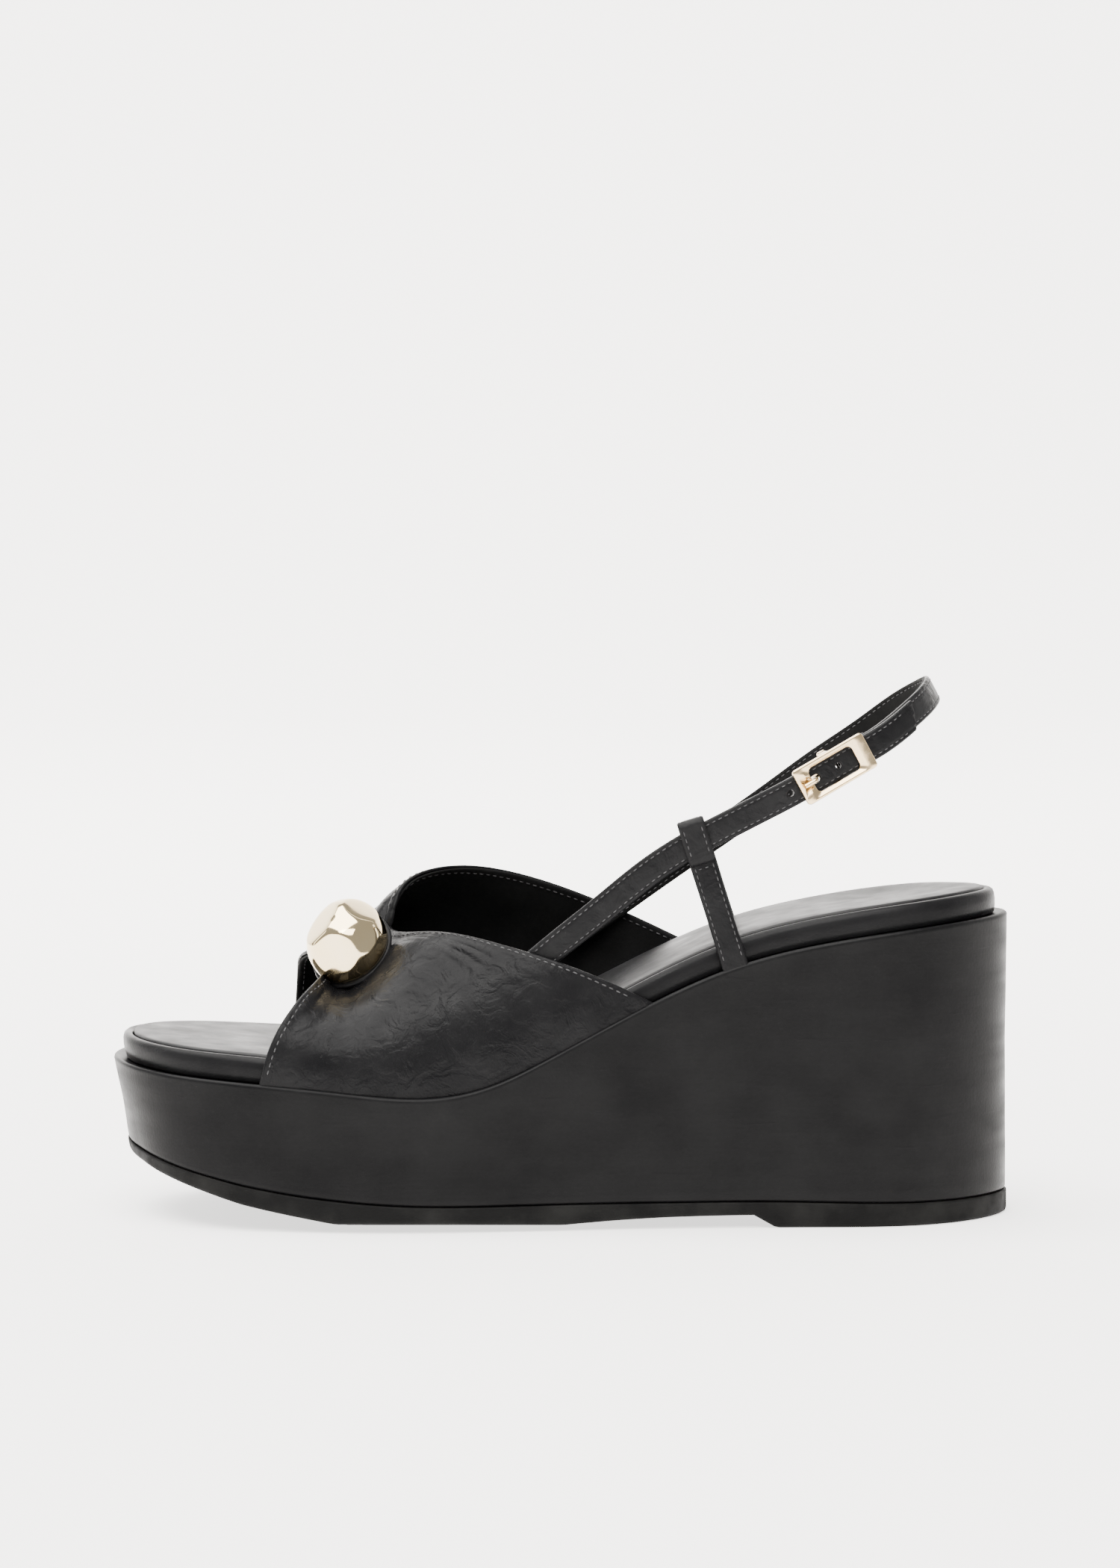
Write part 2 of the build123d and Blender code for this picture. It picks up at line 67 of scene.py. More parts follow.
SEAM = [
    (-132, 22.5), (-118, 19.0), (-109, 16.8), (-90, 13.0), (-75, 10.4), (-59, 8.4), (-43, 7.2),
    (-10, 6.9), (40, 7.0), (53, 7.0), (70, 6.7), (90, 6.3), (132, 6.2),
]
UNDERSIDE = [
    (-132, 20.5), (-116.6, 15.1), (-103, 11.4), (-90, 8.2), (-78, 5.6), (-64, 3.0), (-50, 0.8), (-38, 0),
]
ARCH = [(-18, 0), (0, 1.4), (25, 2.9), (52, 3.4)]
HEEL_PAD_START = 58.0
CAMBER_FLAT, CAMBER_HALF, CAMBER_RISE = 21.0, 46.0, 3.0
FOOTBED_INSET = 3.5
FOOTBED_HEIGHT = 6.8
BOARD = 2.0

SEAM_Y = 3.0
WAIST = [
    (-64.5, SEAM_Y, 69.3), (-60, SEAM_Y, 70.4), (-55.5, SEAM_Y, 71.8), (-51, SEAM_Y, 73.6),
    (-46.5, SEAM_Y, 76.8),
]
OUTER_RIBS = [
    [(-64.2, -8, 66.5), (-65.5, -22, 65.5), (-71.2, -33.5, 60), (-77.1, -39.3, 50), (-80.5, -39.3, 38)],
    [(-60, -8, 64.6), (-60.5, -21, 61.4), (-61, -33, 56.5), (-61, -40.3, 47.5), (-61, -41.4, 35)],
    [(-55, -8, 65.5), (-52.5, -22, 63.6), (-47.5, -34.3, 58.8), (-42, -40.6, 48), (-38, -41.4, 33.5)],
    [(-49.5, -8, 70.5), (-42.5, -22, 72.4), (-32.5, -33.5, 65.5), (-21, -38.8, 54), (-12, -38.8, 39)],
    [(-43, -9, 76.7), (-30, -22, 77.7), (-11, -31.5, 74.6), (8, -35, 68.6), (27, -34.3, 59.8)],
]
INNER_RIBS = [
    [(-66.5, 12, 69.2), (-71.3, 23, 67.2), (-73.6, 33, 62.6), (-74.4, 39.2, 52.5), (-75.5, 39.8, 38)],
    [(-60, 12, 73.4), (-60, 24, 72.5), (-60.2, 34.5, 65.5), (-60.3, 41, 53), (-60.3, 41.6, 35)],
    [(-54, 11, 77.5), (-49, 23, 79), (-43.5, 33.5, 71), (-38, 40, 55), (-35, 41, 34)],
    [(-48.5, 9, 82.5), (-40, 19, 87), (-25, 30, 81), (-7, 37, 65), (2, 36, 46)],
    [(-43.5, 6, 86.5), (-36, 11, 91.7), (-20, 22, 91.8), (10, 33, 82.0), (43, 31.4, 66.8)],
]

STRAP_WIDTH = 7.5
STRAP_OUTER, STRAP_LINING = 1.0, 0.9
HEEL_LEAN = 28.0
TAIL_LIFT = 2.05
TAIL_END = 26.6
HOLE = 1.8
HOLE_PITCH = 7.4
PRONG_HOLE = -5.8
NEAR_FRONT = [
    (-14, -32.2, 64.6), (-4.4, -30.9, 72.9), (11, -31.8, 85.4), (24, -32.6, 96.0), (36.4, -33, 103.9),
]
NEAR_PIVOT = (44.4, -32.9, 108.1)
BUCKLE_AT = np.array([72.3, -28.1, 123.1])
BUCKLE_RUN = np.array([0.852, 0.22, 0.4755]) / np.linalg.norm([0.852, 0.22, 0.4755])
HEEL_ROUND = [
    (93.5, -18.7, 136.4), (99.3, -9.7, 140.9), (101.2, 0, 142.9), (99.3, 9.7, 141.4), (93.5, 18.4, 137.2),
]
FAR_BACK = [(84.5, 24.9, 130.0), (72, 29.3, 121.1), (60, 31.5, 112.1)]
FAR_PIVOT = (45.8, 32.7, 101.9)
FAR_FRONT = [(38.8, 32.6, 97.1), (14.7, 31.7, 80.2), (0, 31.0, 69.8)]

KEEPER_WIDTH = 7.3
KEEPER_LEATHER = 1.2
KEEPER_FEET = [(46.9, -33.3, 70.4), (47.4, 31.5, 70.5)]
KEEPER_INSIDE = (2.6, 10.2)

BUCKLE_LENGTH, BUCKLE_WIDTH = 22.0, 10.3
BUCKLE_WINDOW = (13.6, 7.0)
BUCKLE_PLATE = 1.2
BUCKLE_LOW = TAIL_LIFT + STRAP_OUTER + 0.8
BAR_RADIUS, BAR_SINK = 1.0, 1.05
LUG_HALF = 1.15
PRONG = 1.3

GEM_RADIUS = 10.7
GEM_STRETCH = 1.12
GEM_HEIGHT = 14.0
GEM_BACKING = 1.6
GEM_SEAT = np.array([-53.3, -5.0, 66.0])
GEM_AXIS = np.array([-0.33, -0.66, 0.675]) / np.linalg.norm([-0.33, -0.66, 0.675])
GEM_STANDOFF = 8.4


# ---- splines ----


def unit(v):
    """Vectors along the last axis, made one long."""
    v = np.asarray(v, float)
    return v / np.maximum(np.linalg.norm(v, axis=-1, keepdims=True), 1e-9)


def cubic(knots, values, at):
    """Natural cubic spline through the rows of values at the knots, read at the given places."""
    n = len(knots)
    h = np.diff(knots)
    system = np.eye(n)
    right = np.zeros(values.shape)
    for i in range(1, n - 1):
        system[i, i - 1 : i + 2] = h[i - 1], 2 * (h[i - 1] + h[i]), h[i]
        after, before = (values[i + 1] - values[i]) / h[i], (values[i] - values[i - 1]) / h[i - 1]
        right[i] = 6 * (after - before)
    bend = np.linalg.solve(system, right.reshape(n, -1)).reshape(values.shape)
    k = np.clip(np.searchsorted(knots, at) - 1, 0, n - 2)
    shape = (-1,) + (1,) * (values.ndim - 1)
    step = h[k].reshape(shape)
    past = (at - knots[k]).reshape(shape)
    left = (knots[k + 1] - at).reshape(shape)
    curved = (bend[k] * left**3 + bend[k + 1] * past**3) / (6 * step)
    first = (values[k] / step - bend[k] * step / 6) * left
    second = (values[k + 1] / step - bend[k + 1] * step / 6) * past
    return curved + first + second


def chords(points):
    """Distance travelled along a row of points."""
    return np.concatenate([[0], np.cumsum(np.linalg.norm(np.diff(points, axis=0), axis=1))])


def height(profile, x):
    """Height of a side profile at each x."""
    table = np.array(profile, float)
    inside = np.clip(np.ravel(x), table[0, 0], table[-1, 0])
    return cubic(table[:, 0], table[:, 1], inside).reshape(np.shape(x))


def smooth(x):
    """Smooth step from 0 to 1."""
    x = np.clip(x, 0, 1)
    return x * x * (3 - 2 * x)


# ---- meshes ----


def make(name, points, faces, material, body=None, stands_for=()):
    """Mesh object from points in millimetres, with its normals facing out."""
    mesh = bpy.data.meshes.new(name)
    mesh.from_pydata([tuple(p) for p in np.asarray(points, float) * MM], [], faces)
    bm = bmesh.new()
    bm.from_mesh(mesh)
    bmesh.ops.remove_doubles(bm, verts=bm.verts, dist=1e-7)
    bmesh.ops.recalc_face_normals(bm, faces=bm.faces)
    for face in bm.faces:
        face.smooth = True
    bm.to_mesh(mesh)
    bm.free()
    mesh.materials.append(material)
    obj = bpy.data.objects.new(name, mesh)
    bpy.context.scene.collection.objects.link(obj)
    if body:
        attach(obj, body)
    if stands_for:
        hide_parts(*stands_for)
    return obj


def grid_faces(rows, columns, wrap_rows=False, wrap_columns=False, start=0):
    """Quads of a grid of points kept row by row."""
    faces = []
    for i in range(rows if wrap_rows else rows - 1):
        for j in range(columns if wrap_columns else columns - 1):
            a, b = i * columns, (i + 1) % rows * columns
            c, d = j, (j + 1) % columns
            faces.append((start + a + c, start + a + d, start + b + d, start + b + c))
    return faces


def loft(loops, closed_ends=True, ring=False):
    """Points and faces of a tube through loops with the same count of points."""
    count, around = len(loops), len(loops[0])
    points = np.concatenate(loops)
    faces = grid_faces(count, around, wrap_rows=ring, wrap_columns=True)
    if closed_ends and not ring:
        faces.append(tuple(range(around)))
        faces.append(tuple(range((count - 1) * around, count * around)))
    return points, faces


def cut(obj, cutters):
    """Takes the cutters out of obj for good."""
    for cutter in cutters:
        modifier = obj.modifiers.new("cut", "BOOLEAN")
        modifier.object = cutter
        modifier.operation = "DIFFERENCE"
        modifier.solver = "EXACT"
    bpy.context.view_layer.update()
    evaluated = obj.evaluated_get(bpy.context.evaluated_depsgraph_get())
    mesh = bpy.data.meshes.new_from_object(evaluated)
    obj.modifiers.clear()
    obj.data = mesh
    for cutter in cutters:
        bpy.data.objects.remove(cutter)


# ---- materials ----


class Finish:
    """A node material under construction: a Principled shader and what feeds it."""

    def __init__(self, name, colour, rough, metallic=0.0, specular=0.5):
        self.material = bpy.data.materials.new(name)
        self.material.use_nodes = True
        self.nodes = self.material.node_tree.nodes
        self.links = self.material.node_tree.links
        self.shader = self.nodes["Principled BSDF"]
        self.shader.inputs["Base Color"].default_value = (*colour, 1)
        self.shader.inputs["Roughness"].default_value = rough
        self.shader.inputs["Metallic"].default_value = metallic
        self.shader.inputs["Specular IOR Level"].default_value = specular
        self.place = self.nodes.new("ShaderNodeTexCoord").outputs["Object"]
        self.normal = None

    def stretched(self, stretch):
        """Object coordinates, stretched."""
        node = self.nodes.new("ShaderNodeMapping")
        node.inputs["Scale"].default_value = stretch
        self.links.new(self.place, node.inputs["Vector"])
        return node.outputs["Vector"]

    def noise(self, scale, detail=4.0, stretch=(1, 1, 1), distortion=0.0):
        """Cloudy noise, scale in features per metre."""
        node = self.nodes.new("ShaderNodeTexNoise")
        node.inputs["Scale"].default_value = scale
        node.inputs["Detail"].default_value = detail
        node.inputs["Distortion"].default_value = distortion
        self.links.new(self.stretched(stretch), node.inputs["Vector"])
        return node.outputs["Fac"]

    def cells(self, scale):
        """Cell pattern of grain, scale in cells per metre."""
        node = self.nodes.new("ShaderNodeTexVoronoi")
        node.inputs["Scale"].default_value = scale
        self.links.new(self.place, node.inputs["Vector"])
        return node.outputs["Distance"]

    def span(self, value, low, high, to_low, to_high):
        """Value between low and high, spread over another range."""
        node = self.nodes.new("ShaderNodeMapRange")
        self.links.new(value, node.inputs["Value"])
        for name, number in zip(("From Min", "From Max", "To Min", "To Max"), (low, high, to_low, to_high)):
            node.inputs[name].default_value = number
        return node.outputs["Result"]

    def tint(self, value, first, second):
        """Base colour between two colours by value."""
        node = self.nodes.new("ShaderNodeMix")
        node.data_type = "RGBA"
        self.links.new(value, node.inputs["Factor"])
        node.inputs["A"].default_value = (*first, 1)
        node.inputs["B"].default_value = (*second, 1)
        self.links.new(node.outputs["Result"], self.shader.inputs["Base Color"])
        return self

    def rough(self, value):
        """Roughness from a value."""
        self.links.new(value, self.shader.inputs["Roughness"])
        return self

    def bump(self, value, depth, strength=1.0):
        """Adds relief, depth in millimetres, over what is there already."""
        node = self.nodes.new("ShaderNodeBump")
        node.inputs["Distance"].default_value = depth * MM
        node.inputs["Strength"].default_value = strength
        self.links.new(value, node.inputs["Height"])
        if self.normal:
            self.links.new(self.normal, node.inputs["Normal"])
        self.normal = node.outputs["Normal"]
        self.links.new(self.normal, self.shader.inputs["Normal"])
        return self


# Black leather under strong studio light: little mirror reflection, so that it stays black.
LEATHER_SPECULAR = 0.08


def leather(name, dark, light, gloss, grain=1.0, streak=(1, 1, 1), creases=0.0):
    """Smooth black leather: fine grain, cloudy wear, streaks and creases."""
    f = Finish(name, dark, gloss, specular=LEATHER_SPECULAR)
    f.tint(f.span(f.noise(60, 6), 0.35, 0.75, 0, 1), dark, light)
    f.rough(f.span(f.noise(150, 8, streak), 0.3, 0.72, gloss - 0.07, gloss + 0.12))
    f.bump(f.cells(1300), 0.035 * grain, 0.6)
    f.bump(f.noise(2600, 3), 0.02 * grain, 0.6)
    if creases:
        f.bump(f.span(f.noise(170, 6, streak, distortion=1.2), 0.42, 0.6, 0, 1), 0.12 * creases, 0.8)
    f.bump(f.noise(70, 3, streak), 0.25, 0.5)
    return f.material


def wedge_leather():
    """Leather of the wedge wall: satin, with fine level and upright streaks and a few scratches."""
    f = Finish("wedge_leather", (0.006, 0.006, 0.0065), 0.38, specular=LEATHER_SPECULAR)
    f.tint(f.span(f.noise(45, 7), 0.3, 0.75, 0, 1), (0.003, 0.003, 0.0033), (0.007, 0.007, 0.0073))
    f.rough(f.span(f.noise(90, 9, (0.5, 0.5, 2.2)), 0.3, 0.72, 0.30, 0.47))
    f.bump(f.cells(1200), 0.03, 0.6)
    f.bump(f.noise(420, 6, (0.25, 0.25, 3.0)), 0.035, 0.7)
    f.bump(f.noise(420, 6, (3.0, 3.0, 0.3)), 0.03, 0.6)
    scratch = f.span(f.noise(90, 10, (0.35, 0.35, 4.0), distortion=0.8), 0.66, 0.72, 0, 1)
    f.bump(scratch, 0.04, 0.5)
    f.bump(f.noise(35, 2), 0.5, 0.5)
    return f.material


def sock_leather():
    """Soft satin leather under the foot."""
    f = Finish("sock_leather", (0.02, 0.02, 0.02), 0.42, specular=0.2)
    f.tint(f.span(f.noise(30, 6), 0.3, 0.75, 0, 1), (0.010, 0.010, 0.0105), (0.020, 0.020, 0.021))
    f.rough(f.span(f.noise(120, 8), 0.3, 0.7, 0.36, 0.52))
    f.bump(f.cells(1500), 0.03, 0.6)
    f.bump(f.noise(300, 5), 0.04, 0.5)
    f.bump(f.noise(40, 2), 0.3, 0.4)
    return f.material


def rubber():
    """Matt moulded rubber with a fine skin and dusty wear."""
    f = Finish("outsole_rubber", (0.014, 0.014, 0.014), 0.6, specular=0.06)
    f.tint(f.span(f.noise(80, 8), 0.45, 0.75, 0, 1), (0.005, 0.005, 0.005), (0.012, 0.012, 0.0115))
    f.rough(f.span(f.noise(220, 8), 0.3, 0.7, 0.48, 0.72))
    f.bump(f.noise(1800, 4), 0.05, 0.7)
    f.bump(f.noise(160, 4, (0.4, 0.4, 2.5)), 0.08, 0.5)
    return f.material


def polished(name, colour, second, rough, waves):
    """Plated metal with a soft orange-peel and faint smudges."""
    f = Finish(name, colour, rough, metallic=1.0)
    f.tint(f.span(f.noise(90, 5), 0.3, 0.75, 0, 1), colour, second)
    f.rough(f.span(f.noise(420, 8), 0.35, 0.75, rough * 0.8, rough * 1.7))
    f.bump(f.noise(150, 2), waves, 0.4)
    f.bump(f.noise(1900, 3, (1, 1, 3)), 0.004, 0.5)
    return f.material


def plain(name, first, second, rough, scale, depth, metallic=0.0):
    """Material of a piece that hardly shows, still with grain and uneven colour."""
    f = Finish(name, first, rough, metallic=metallic)
    f.tint(f.span(f.noise(scale * 0.2, 5), 0.3, 0.7, 0, 1), first, second)
    f.rough(f.span(f.noise(scale * 0.5, 5), 0.3, 0.7, rough - 0.1, min(1.0, rough + 0.1)))
    f.bump(f.cells(scale), depth, 0.7)
    return f.material


UPPER = leather("upper_leather", (0.005, 0.005, 0.0055), (0.010, 0.010, 0.0105), 0.27, creases=1.0)
STRAP = leather("strap_leather", (0.006, 0.006, 0.0065), (0.013, 0.013, 0.0135), 0.28, grain=1.3, creases=0.7)
LINING = leather("lining_leather", (0.004, 0.004, 0.004), (0.009, 0.009, 0.009), 0.62, grain=1.6)
WEDGE = wedge_leather()
RAND_DARK, RAND_LIGHT = (0.006, 0.006, 0.0065), (0.011, 0.011, 0.0115)
RAND_LEATHER = leather("rand_leather", RAND_DARK, RAND_LIGHT, 0.33, streak=(0.6, 0.6, 2.0))
SOCK = sock_leather()
RUBBER = rubber()
THREAD = plain("black_thread", (0.016, 0.016, 0.017), (0.05, 0.05, 0.052), 0.55, 3500, 0.06)
GOLD = polished("polished_gold", (0.88, 0.70, 0.40), (0.92, 0.76, 0.48), 0.07, 0.02)
BUCKLE_GOLD = polished("buckle_gold", (0.86, 0.64, 0.36), (0.90, 0.71, 0.44), 0.20, 0.01)
STEEL = plain("steel", (0.55, 0.55, 0.56), (0.62, 0.62, 0.63), 0.35, 900, 0.01, metallic=1.0)
FOAM = plain("core_foam", (0.09, 0.09, 0.09), (0.14, 0.14, 0.14), 0.9, 900, 0.3)
BOARD_FIBRE = plain("insole_board", (0.30, 0.22, 0.14), (0.38, 0.29, 0.19), 0.85, 700, 0.1)

CAD_FINISH = {
    "wedge_core": FOAM, "insole_board": BOARD_FIBRE, "ornament_post": STEEL, "ornament_washer": STEEL,
    "buckle_bar": BUCKLE_GOLD, "buckle_prong": BUCKLE_GOLD,
}
for node, finish in CAD_FINISH.items():
    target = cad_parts[node]
    target.data.materials.clear()
    target.data.materials.append(finish)


# ---- sole: rings of points round the footprint ----

AROUND = 480


def outline(inset):
    """Footprint at the height of the toe rim, moved in by inset: AROUND points (x, y)."""
    corners = np.array(FOOTPRINT, float)
    run = unit(np.roll(corners, -1, 0) - np.roll(corners, 1, 0))
    corners = corners + np.stack([run[:, 1], -run[:, 0]], 1) * inset
    count, extra = len(corners), 5
    wrapped = np.concatenate([corners[-extra:], corners, corners[: extra + 1]])
    knots = chords(wrapped)
    index = extra + np.linspace(0, count, AROUND, endpoint=False)
    at = np.interp(index, np.arange(len(wrapped)), knots)
    return cubic(knots, wrapped, at)


def leaned(xy, z):
    """Points of a ring, with the lean of the toe wall."""
    share = np.clip((LEAN_START - xy[:, 0]) / (LEAN_START - LEAN_FULL), 0, 1)
    forward = TOE_LEAN * (z - TOE_RIM_HEIGHT) * share
    return np.stack([xy[:, 0] - forward, xy[:, 1], z], 1)


def ring(inset, profile, rise):
    """Ring at an inset, rise above a side profile; profile may be a function of the ring's points."""
    xy = outline(inset)
    base = profile(xy) if callable(profile) else height(profile, xy[:, 0])
    return leaned(xy, base + rise)


def inner(inset, share):
    """Ring shrunk toward the middle line of the sole: 0 at the inset outline, 1 on the line."""
    xy = outline(inset)
    low, high = xy[:, 0].min() + 38, xy[:, 0].max() - 30
    middle = np.clip(xy[:, 0], low, high)
    centre = np.stack([middle, np.interp(middle, [-90, 0, 100], [2, 0, 0])], 1)
    return xy + (centre - xy) * share


def ground(xy):
    """Height of the outsole's underside over the ground."""
    x, y = xy[:, 0], np.abs(xy[:, 1])
    base = np.where(x < -38, height(UNDERSIDE, np.minimum(x, -38)), 0.0)
    base = np.where((x > -18) & (x <= 52), height(ARCH, np.clip(x, -18, 52)), base)
    step = (HEEL_PAD_START - x) / (HEEL_PAD_START - 52) * ARCH[-1][1]
    base = np.where((x > 52) & (x < HEEL_PAD_START), step, base)
    camber = CAMBER_RISE * np.clip((y - CAMBER_FLAT) / (CAMBER_HALF - CAMBER_FLAT), 0, 1) ** 2
    return np.where(x < 52, np.maximum(base, camber), base)


def make_outsole():
    """Moulded rubber outsole with softened edges."""
    loops = [leaned(inner(1.0, s), height(SEAM, inner(1.0, s)[:, 0])) for s in (1, 0.6, 0.3, 0.1)]
    loops += [ring(0.6, SEAM, 0), ring(0.0, SEAM, -0.05), ring(-0.25, SEAM, -0.25), ring(-0.3, SEAM, -0.6)]
    for share in (0.3, 0.55, 0.8):
        xy = outline(-0.3)
        top, low = height(SEAM, xy[:, 0]) - 0.6, ground(xy) + 1.0
        loops.append(leaned(xy, top + (low - top) * share))
    loops += [ring(-0.3, ground, 1.0), ring(-0.1, ground, 0.4)]
    loops += [ring(0.45, ground, 0.08), ring(1.2, ground, 0.0)]
    for share in (0.06, 0.14, 0.24, 0.36, 0.5, 0.65, 0.82, 1.0):
        xy = inner(1.2, share)
        loops.append(leaned(xy, ground(xy)))
    points, faces = loft(loops, closed_ends=False)
    return make("outsole_moulded", points, faces, RUBBER, "sandal", ["outsole"])


def make_cover():
    """Leather wrapped over the wedge: a rolled rim above, tucked in at the outsole below."""
    rows = 26
    wall = []
    for i in range(rows + 1):
        share = i / rows
        xy = outline(0.05 + 0.22 * math.sin(math.pi * share) ** 2)
        low, high = height(SEAM, xy[:, 0]) + 0.9, height(RIM, xy[:, 0]) - 1.3
        z = low + (high - low) * share
        ripple = np.sin(xy[:, 0] * 0.21 + z * 0.09) * np.sin(z * 0.17 + xy[:, 0] * 0.05 + xy[:, 1] * 0.1)
        away = unit(np.stack([xy[:, 0] * 0.35, xy[:, 1]], 1))
        wall.append(leaned(xy + away * (0.08 * ripple * math.sin(math.pi * share))[:, None], z))
    foot = [ring(14, SEAM, 1.3), ring(14, SEAM, 0.1), ring(1.4, SEAM, 0.1)]
    foot += [ring(0.7, SEAM, 0.15), ring(0.25, SEAM, 0.45)]
    lip = [ring(0.0, RIM, -0.75), ring(0.2, RIM, -0.25), ring(0.7, RIM, 0.1)]
    lip += [ring(1.35, RIM, 0.12), ring(2.2, RIM, -0.15)]
    tuck = [ring(3.3, RIM, -0.35), ring(6, RIM, -0.2), ring(14, RIM, -0.1), ring(14, RIM, -1.3)]
    back = [ring(1.4, RIM, -1.6), ring(1.4, SEAM, 1.5)]
    points, faces = loft(foot + wall + lip + tuck + back, ring=True)
    return make("wedge_wrap", points, faces, WEDGE, "sandal", ["wedge_cover"])


def make_rand():
    """Leather band round the footbed, turned over its top edge."""
    i, h = FOOTBED_INSET, FOOTBED_HEIGHT
    bulge = 0.18
    loops = [
        ring(i + 1.4, RIM, 0.0), ring(i + 0.3, RIM, -0.1),
        ring(i - 0.02, RIM, 0.35), ring(i - bulge, RIM, h * 0.3),
        ring(i - bulge, RIM, h * 0.55), ring(i + 0.05, RIM, h - 1.5), ring(i + 0.45, RIM, h - 0.6),
        ring(i + 1.1, RIM, h - 0.1), ring(i + 1.9, RIM, h + 0.08), ring(i + 2.5, RIM, h - 0.05),
        ring(i + 2.85, RIM, h - 0.5), ring(i + 3.0, RIM, h - 1.6), ring(i + 1.4, RIM, h - 2.0),
    ]
    points, faces = loft(loops, ring=True)
    return make("footbed_band", points, faces, RAND_LEATHER, "sandal", ["footbed_rand"])


def make_pad():
    """Padded footbed: sock leather over foam, softly cupped for the heel and the ball."""
    edge = FOOTBED_INSET + 3.1
    top = FOOTBED_HEIGHT + 0.72
    loops = [leaned(inner(edge, s), height(RIM, inner(edge, s)[:, 0]) + BOARD + 0.1) for s in (1, 0.5, 0.1)]
    loops += [ring(edge, RIM, BOARD + 0.1), ring(edge, RIM, top - 1.6), ring(edge + 0.05, RIM, top - 0.6)]
    loops += [ring(edge + 0.3, RIM, top - 0.2), ring(edge + 0.8, RIM, top)]
    for share in (0.03, 0.07, 0.13, 0.2, 0.3, 0.4, 0.5, 0.6, 0.7, 0.8, 0.9, 1.0):
        xy = inner(edge + 0.8, share)
        cup = 1.3 * np.exp(-(((xy[:, 0] - 88) / 24) ** 2)) + 0.8 * np.exp(-(((xy[:, 0] + 62) / 34) ** 2))
        crown = 0.25 * smooth(share / 0.12) - cup * smooth(share * 1.4)
        loops.append(leaned(xy, height(RIM, xy[:, 0]) + top + crown))
    points, faces = loft(loops, closed_ends=False)
    pad = make("footbed_pad", points, faces, SOCK, "sandal", ["foam_pad", "sock_lining"])
    return pad


# ---- stitching ----


# Thickness of a stitch along its length, as a share, and its rise out of the leather in millimetres.
STITCH_SHAPE = [(0.35, -0.12), (0.9, 0.06), (1.0, 0.12), (0.9, 0.06), (0.35, -0.12)]


def stitches(name, paths, body, pitch=2.1, length=1.5, radius=0.2):
    """Rows of thread stitches along paths, each a list of points with the surface normal there."""
    points, faces = [], []
    for path, normals in paths:
        travelled = chords(path)
        for start in np.arange(pitch / 2, travelled[-1] - length, pitch):
            places = np.linspace(start, start + length, 5)
            line = np.stack([np.interp(places, travelled, path[:, k]) for k in range(3)], 1)
            away = unit(np.stack([np.interp(places, travelled, normals[:, k]) for k in range(3)], 1))
            run = unit(line[-1] - line[0])
            side = unit(np.cross(run, away))
            first = len(points)
            for i, (fat, lift) in enumerate(STITCH_SHAPE):
                for k in range(6):
                    turn = math.pi * k / 3
                    across = side[i] * math.cos(turn) + away[i] * math.sin(turn) * 0.8
                    points.append(line[i] + away[i] * lift + across * radius * fat)
            faces += grid_faces(5, 6, wrap_columns=True, start=first)
            faces += [tuple(range(first, first + 6)), tuple(range(first + 24, first + 30))]
    return make(name, points, faces, THREAD, body)


# ---- vamp ----

ACROSS, DOWN = 120, 110


def vamp_surface(ribs):
    """Grid over one vamp half: rows from the front edge to the back, columns from the waist down."""
    table = np.array([[start] + rib for start, rib in zip(WAIST, ribs)], float)
    down = np.mean([chords(row) for row in table], axis=0)
    across = np.mean([chords(table[:, k]) for k in range(1, table.shape[1])], axis=0)
    rows = np.stack([cubic(down, row, np.linspace(0, down[-1], DOWN)) for row in table])
    spread = np.linspace(0, 1, ACROSS)
    spread = (spread + smooth(spread)) / 2 * across[-1]
    grid = cubic(across, rows, spread)
    return grid


def surface_normals(grid, side):
    """Normals of a grid that point away from the foot."""
    normals = unit(np.cross(np.gradient(grid, axis=0), np.gradient(grid, axis=1)))
    middle = normals[ACROSS // 2, int(DOWN * 0.6)]
    return normals if middle[1] * side > 0 else -normals


def gathers(grid, side):
    """How far the leather stands out of its smooth shape: pleats that fan out from the waist, and creases."""
    travelled = np.stack([chords(row) for row in grid])
    u = np.linspace(0, 1, ACROSS)[:, None]
    fade = np.exp(-travelled / 13.0)
    pleat = np.abs(np.sin(math.pi * (5.0 * u + 0.25 * np.sin(5 * u) + 0.006 * travelled))) ** 0.8 - 0.55
    out = 1.15 * fade * pleat * smooth(travelled / 2.5)
    front = np.exp(-((u - 0.07) / 0.10) ** 2) + 0.7 * np.exp(-((u - 0.27) / 0.10) ** 2)
    small = np.sin(62 * u + 0.13 * travelled + 2 * np.sin(travelled * 0.11))
    small = small * np.sin(0.21 * travelled + 9 * u)
    out += 0.22 * front * small * smooth((travelled - 6) / 8) * (1 - smooth((travelled - 38) / 12))
    if side < 0:
        patch = np.exp(-((u - 0.80) / 0.10) ** 2) * np.exp(-((travelled - 40) / 17) ** 2)
        wave = np.sin(95 * u + 0.5 * np.sin(travelled * 0.4))
        out += 0.16 * patch * wave * (0.6 + 0.4 * np.sin(travelled * 0.33))
    edge = np.minimum(u, 1 - u)
    return out * smooth(edge / 0.03 * 0.6 + 0.4)


def sheet(grid, normals, low, high, soften=0.9):
    """Closed leather sheet between two offsets, rounded over its front and back edges."""
    middle, half = (low + high) / 2, (high - low) / 2
    loops = []
    for j in range(grid.shape[1]):
        line, away = grid[:, j], normals[:, j]
        travelled = chords(line)
        near = np.minimum(travelled, travelled[-1] - travelled)
        thin = np.sqrt(1 - (1 - np.clip(near / soften, 0, 1)) ** 2) * 0.85 + 0.15
        upper = line + away * (middle + half * thin)[:, None]
        lower = line + away * (middle - half * thin)[:, None]
        loops.append(np.concatenate([upper, lower[::-1]]))
    return loft(loops)


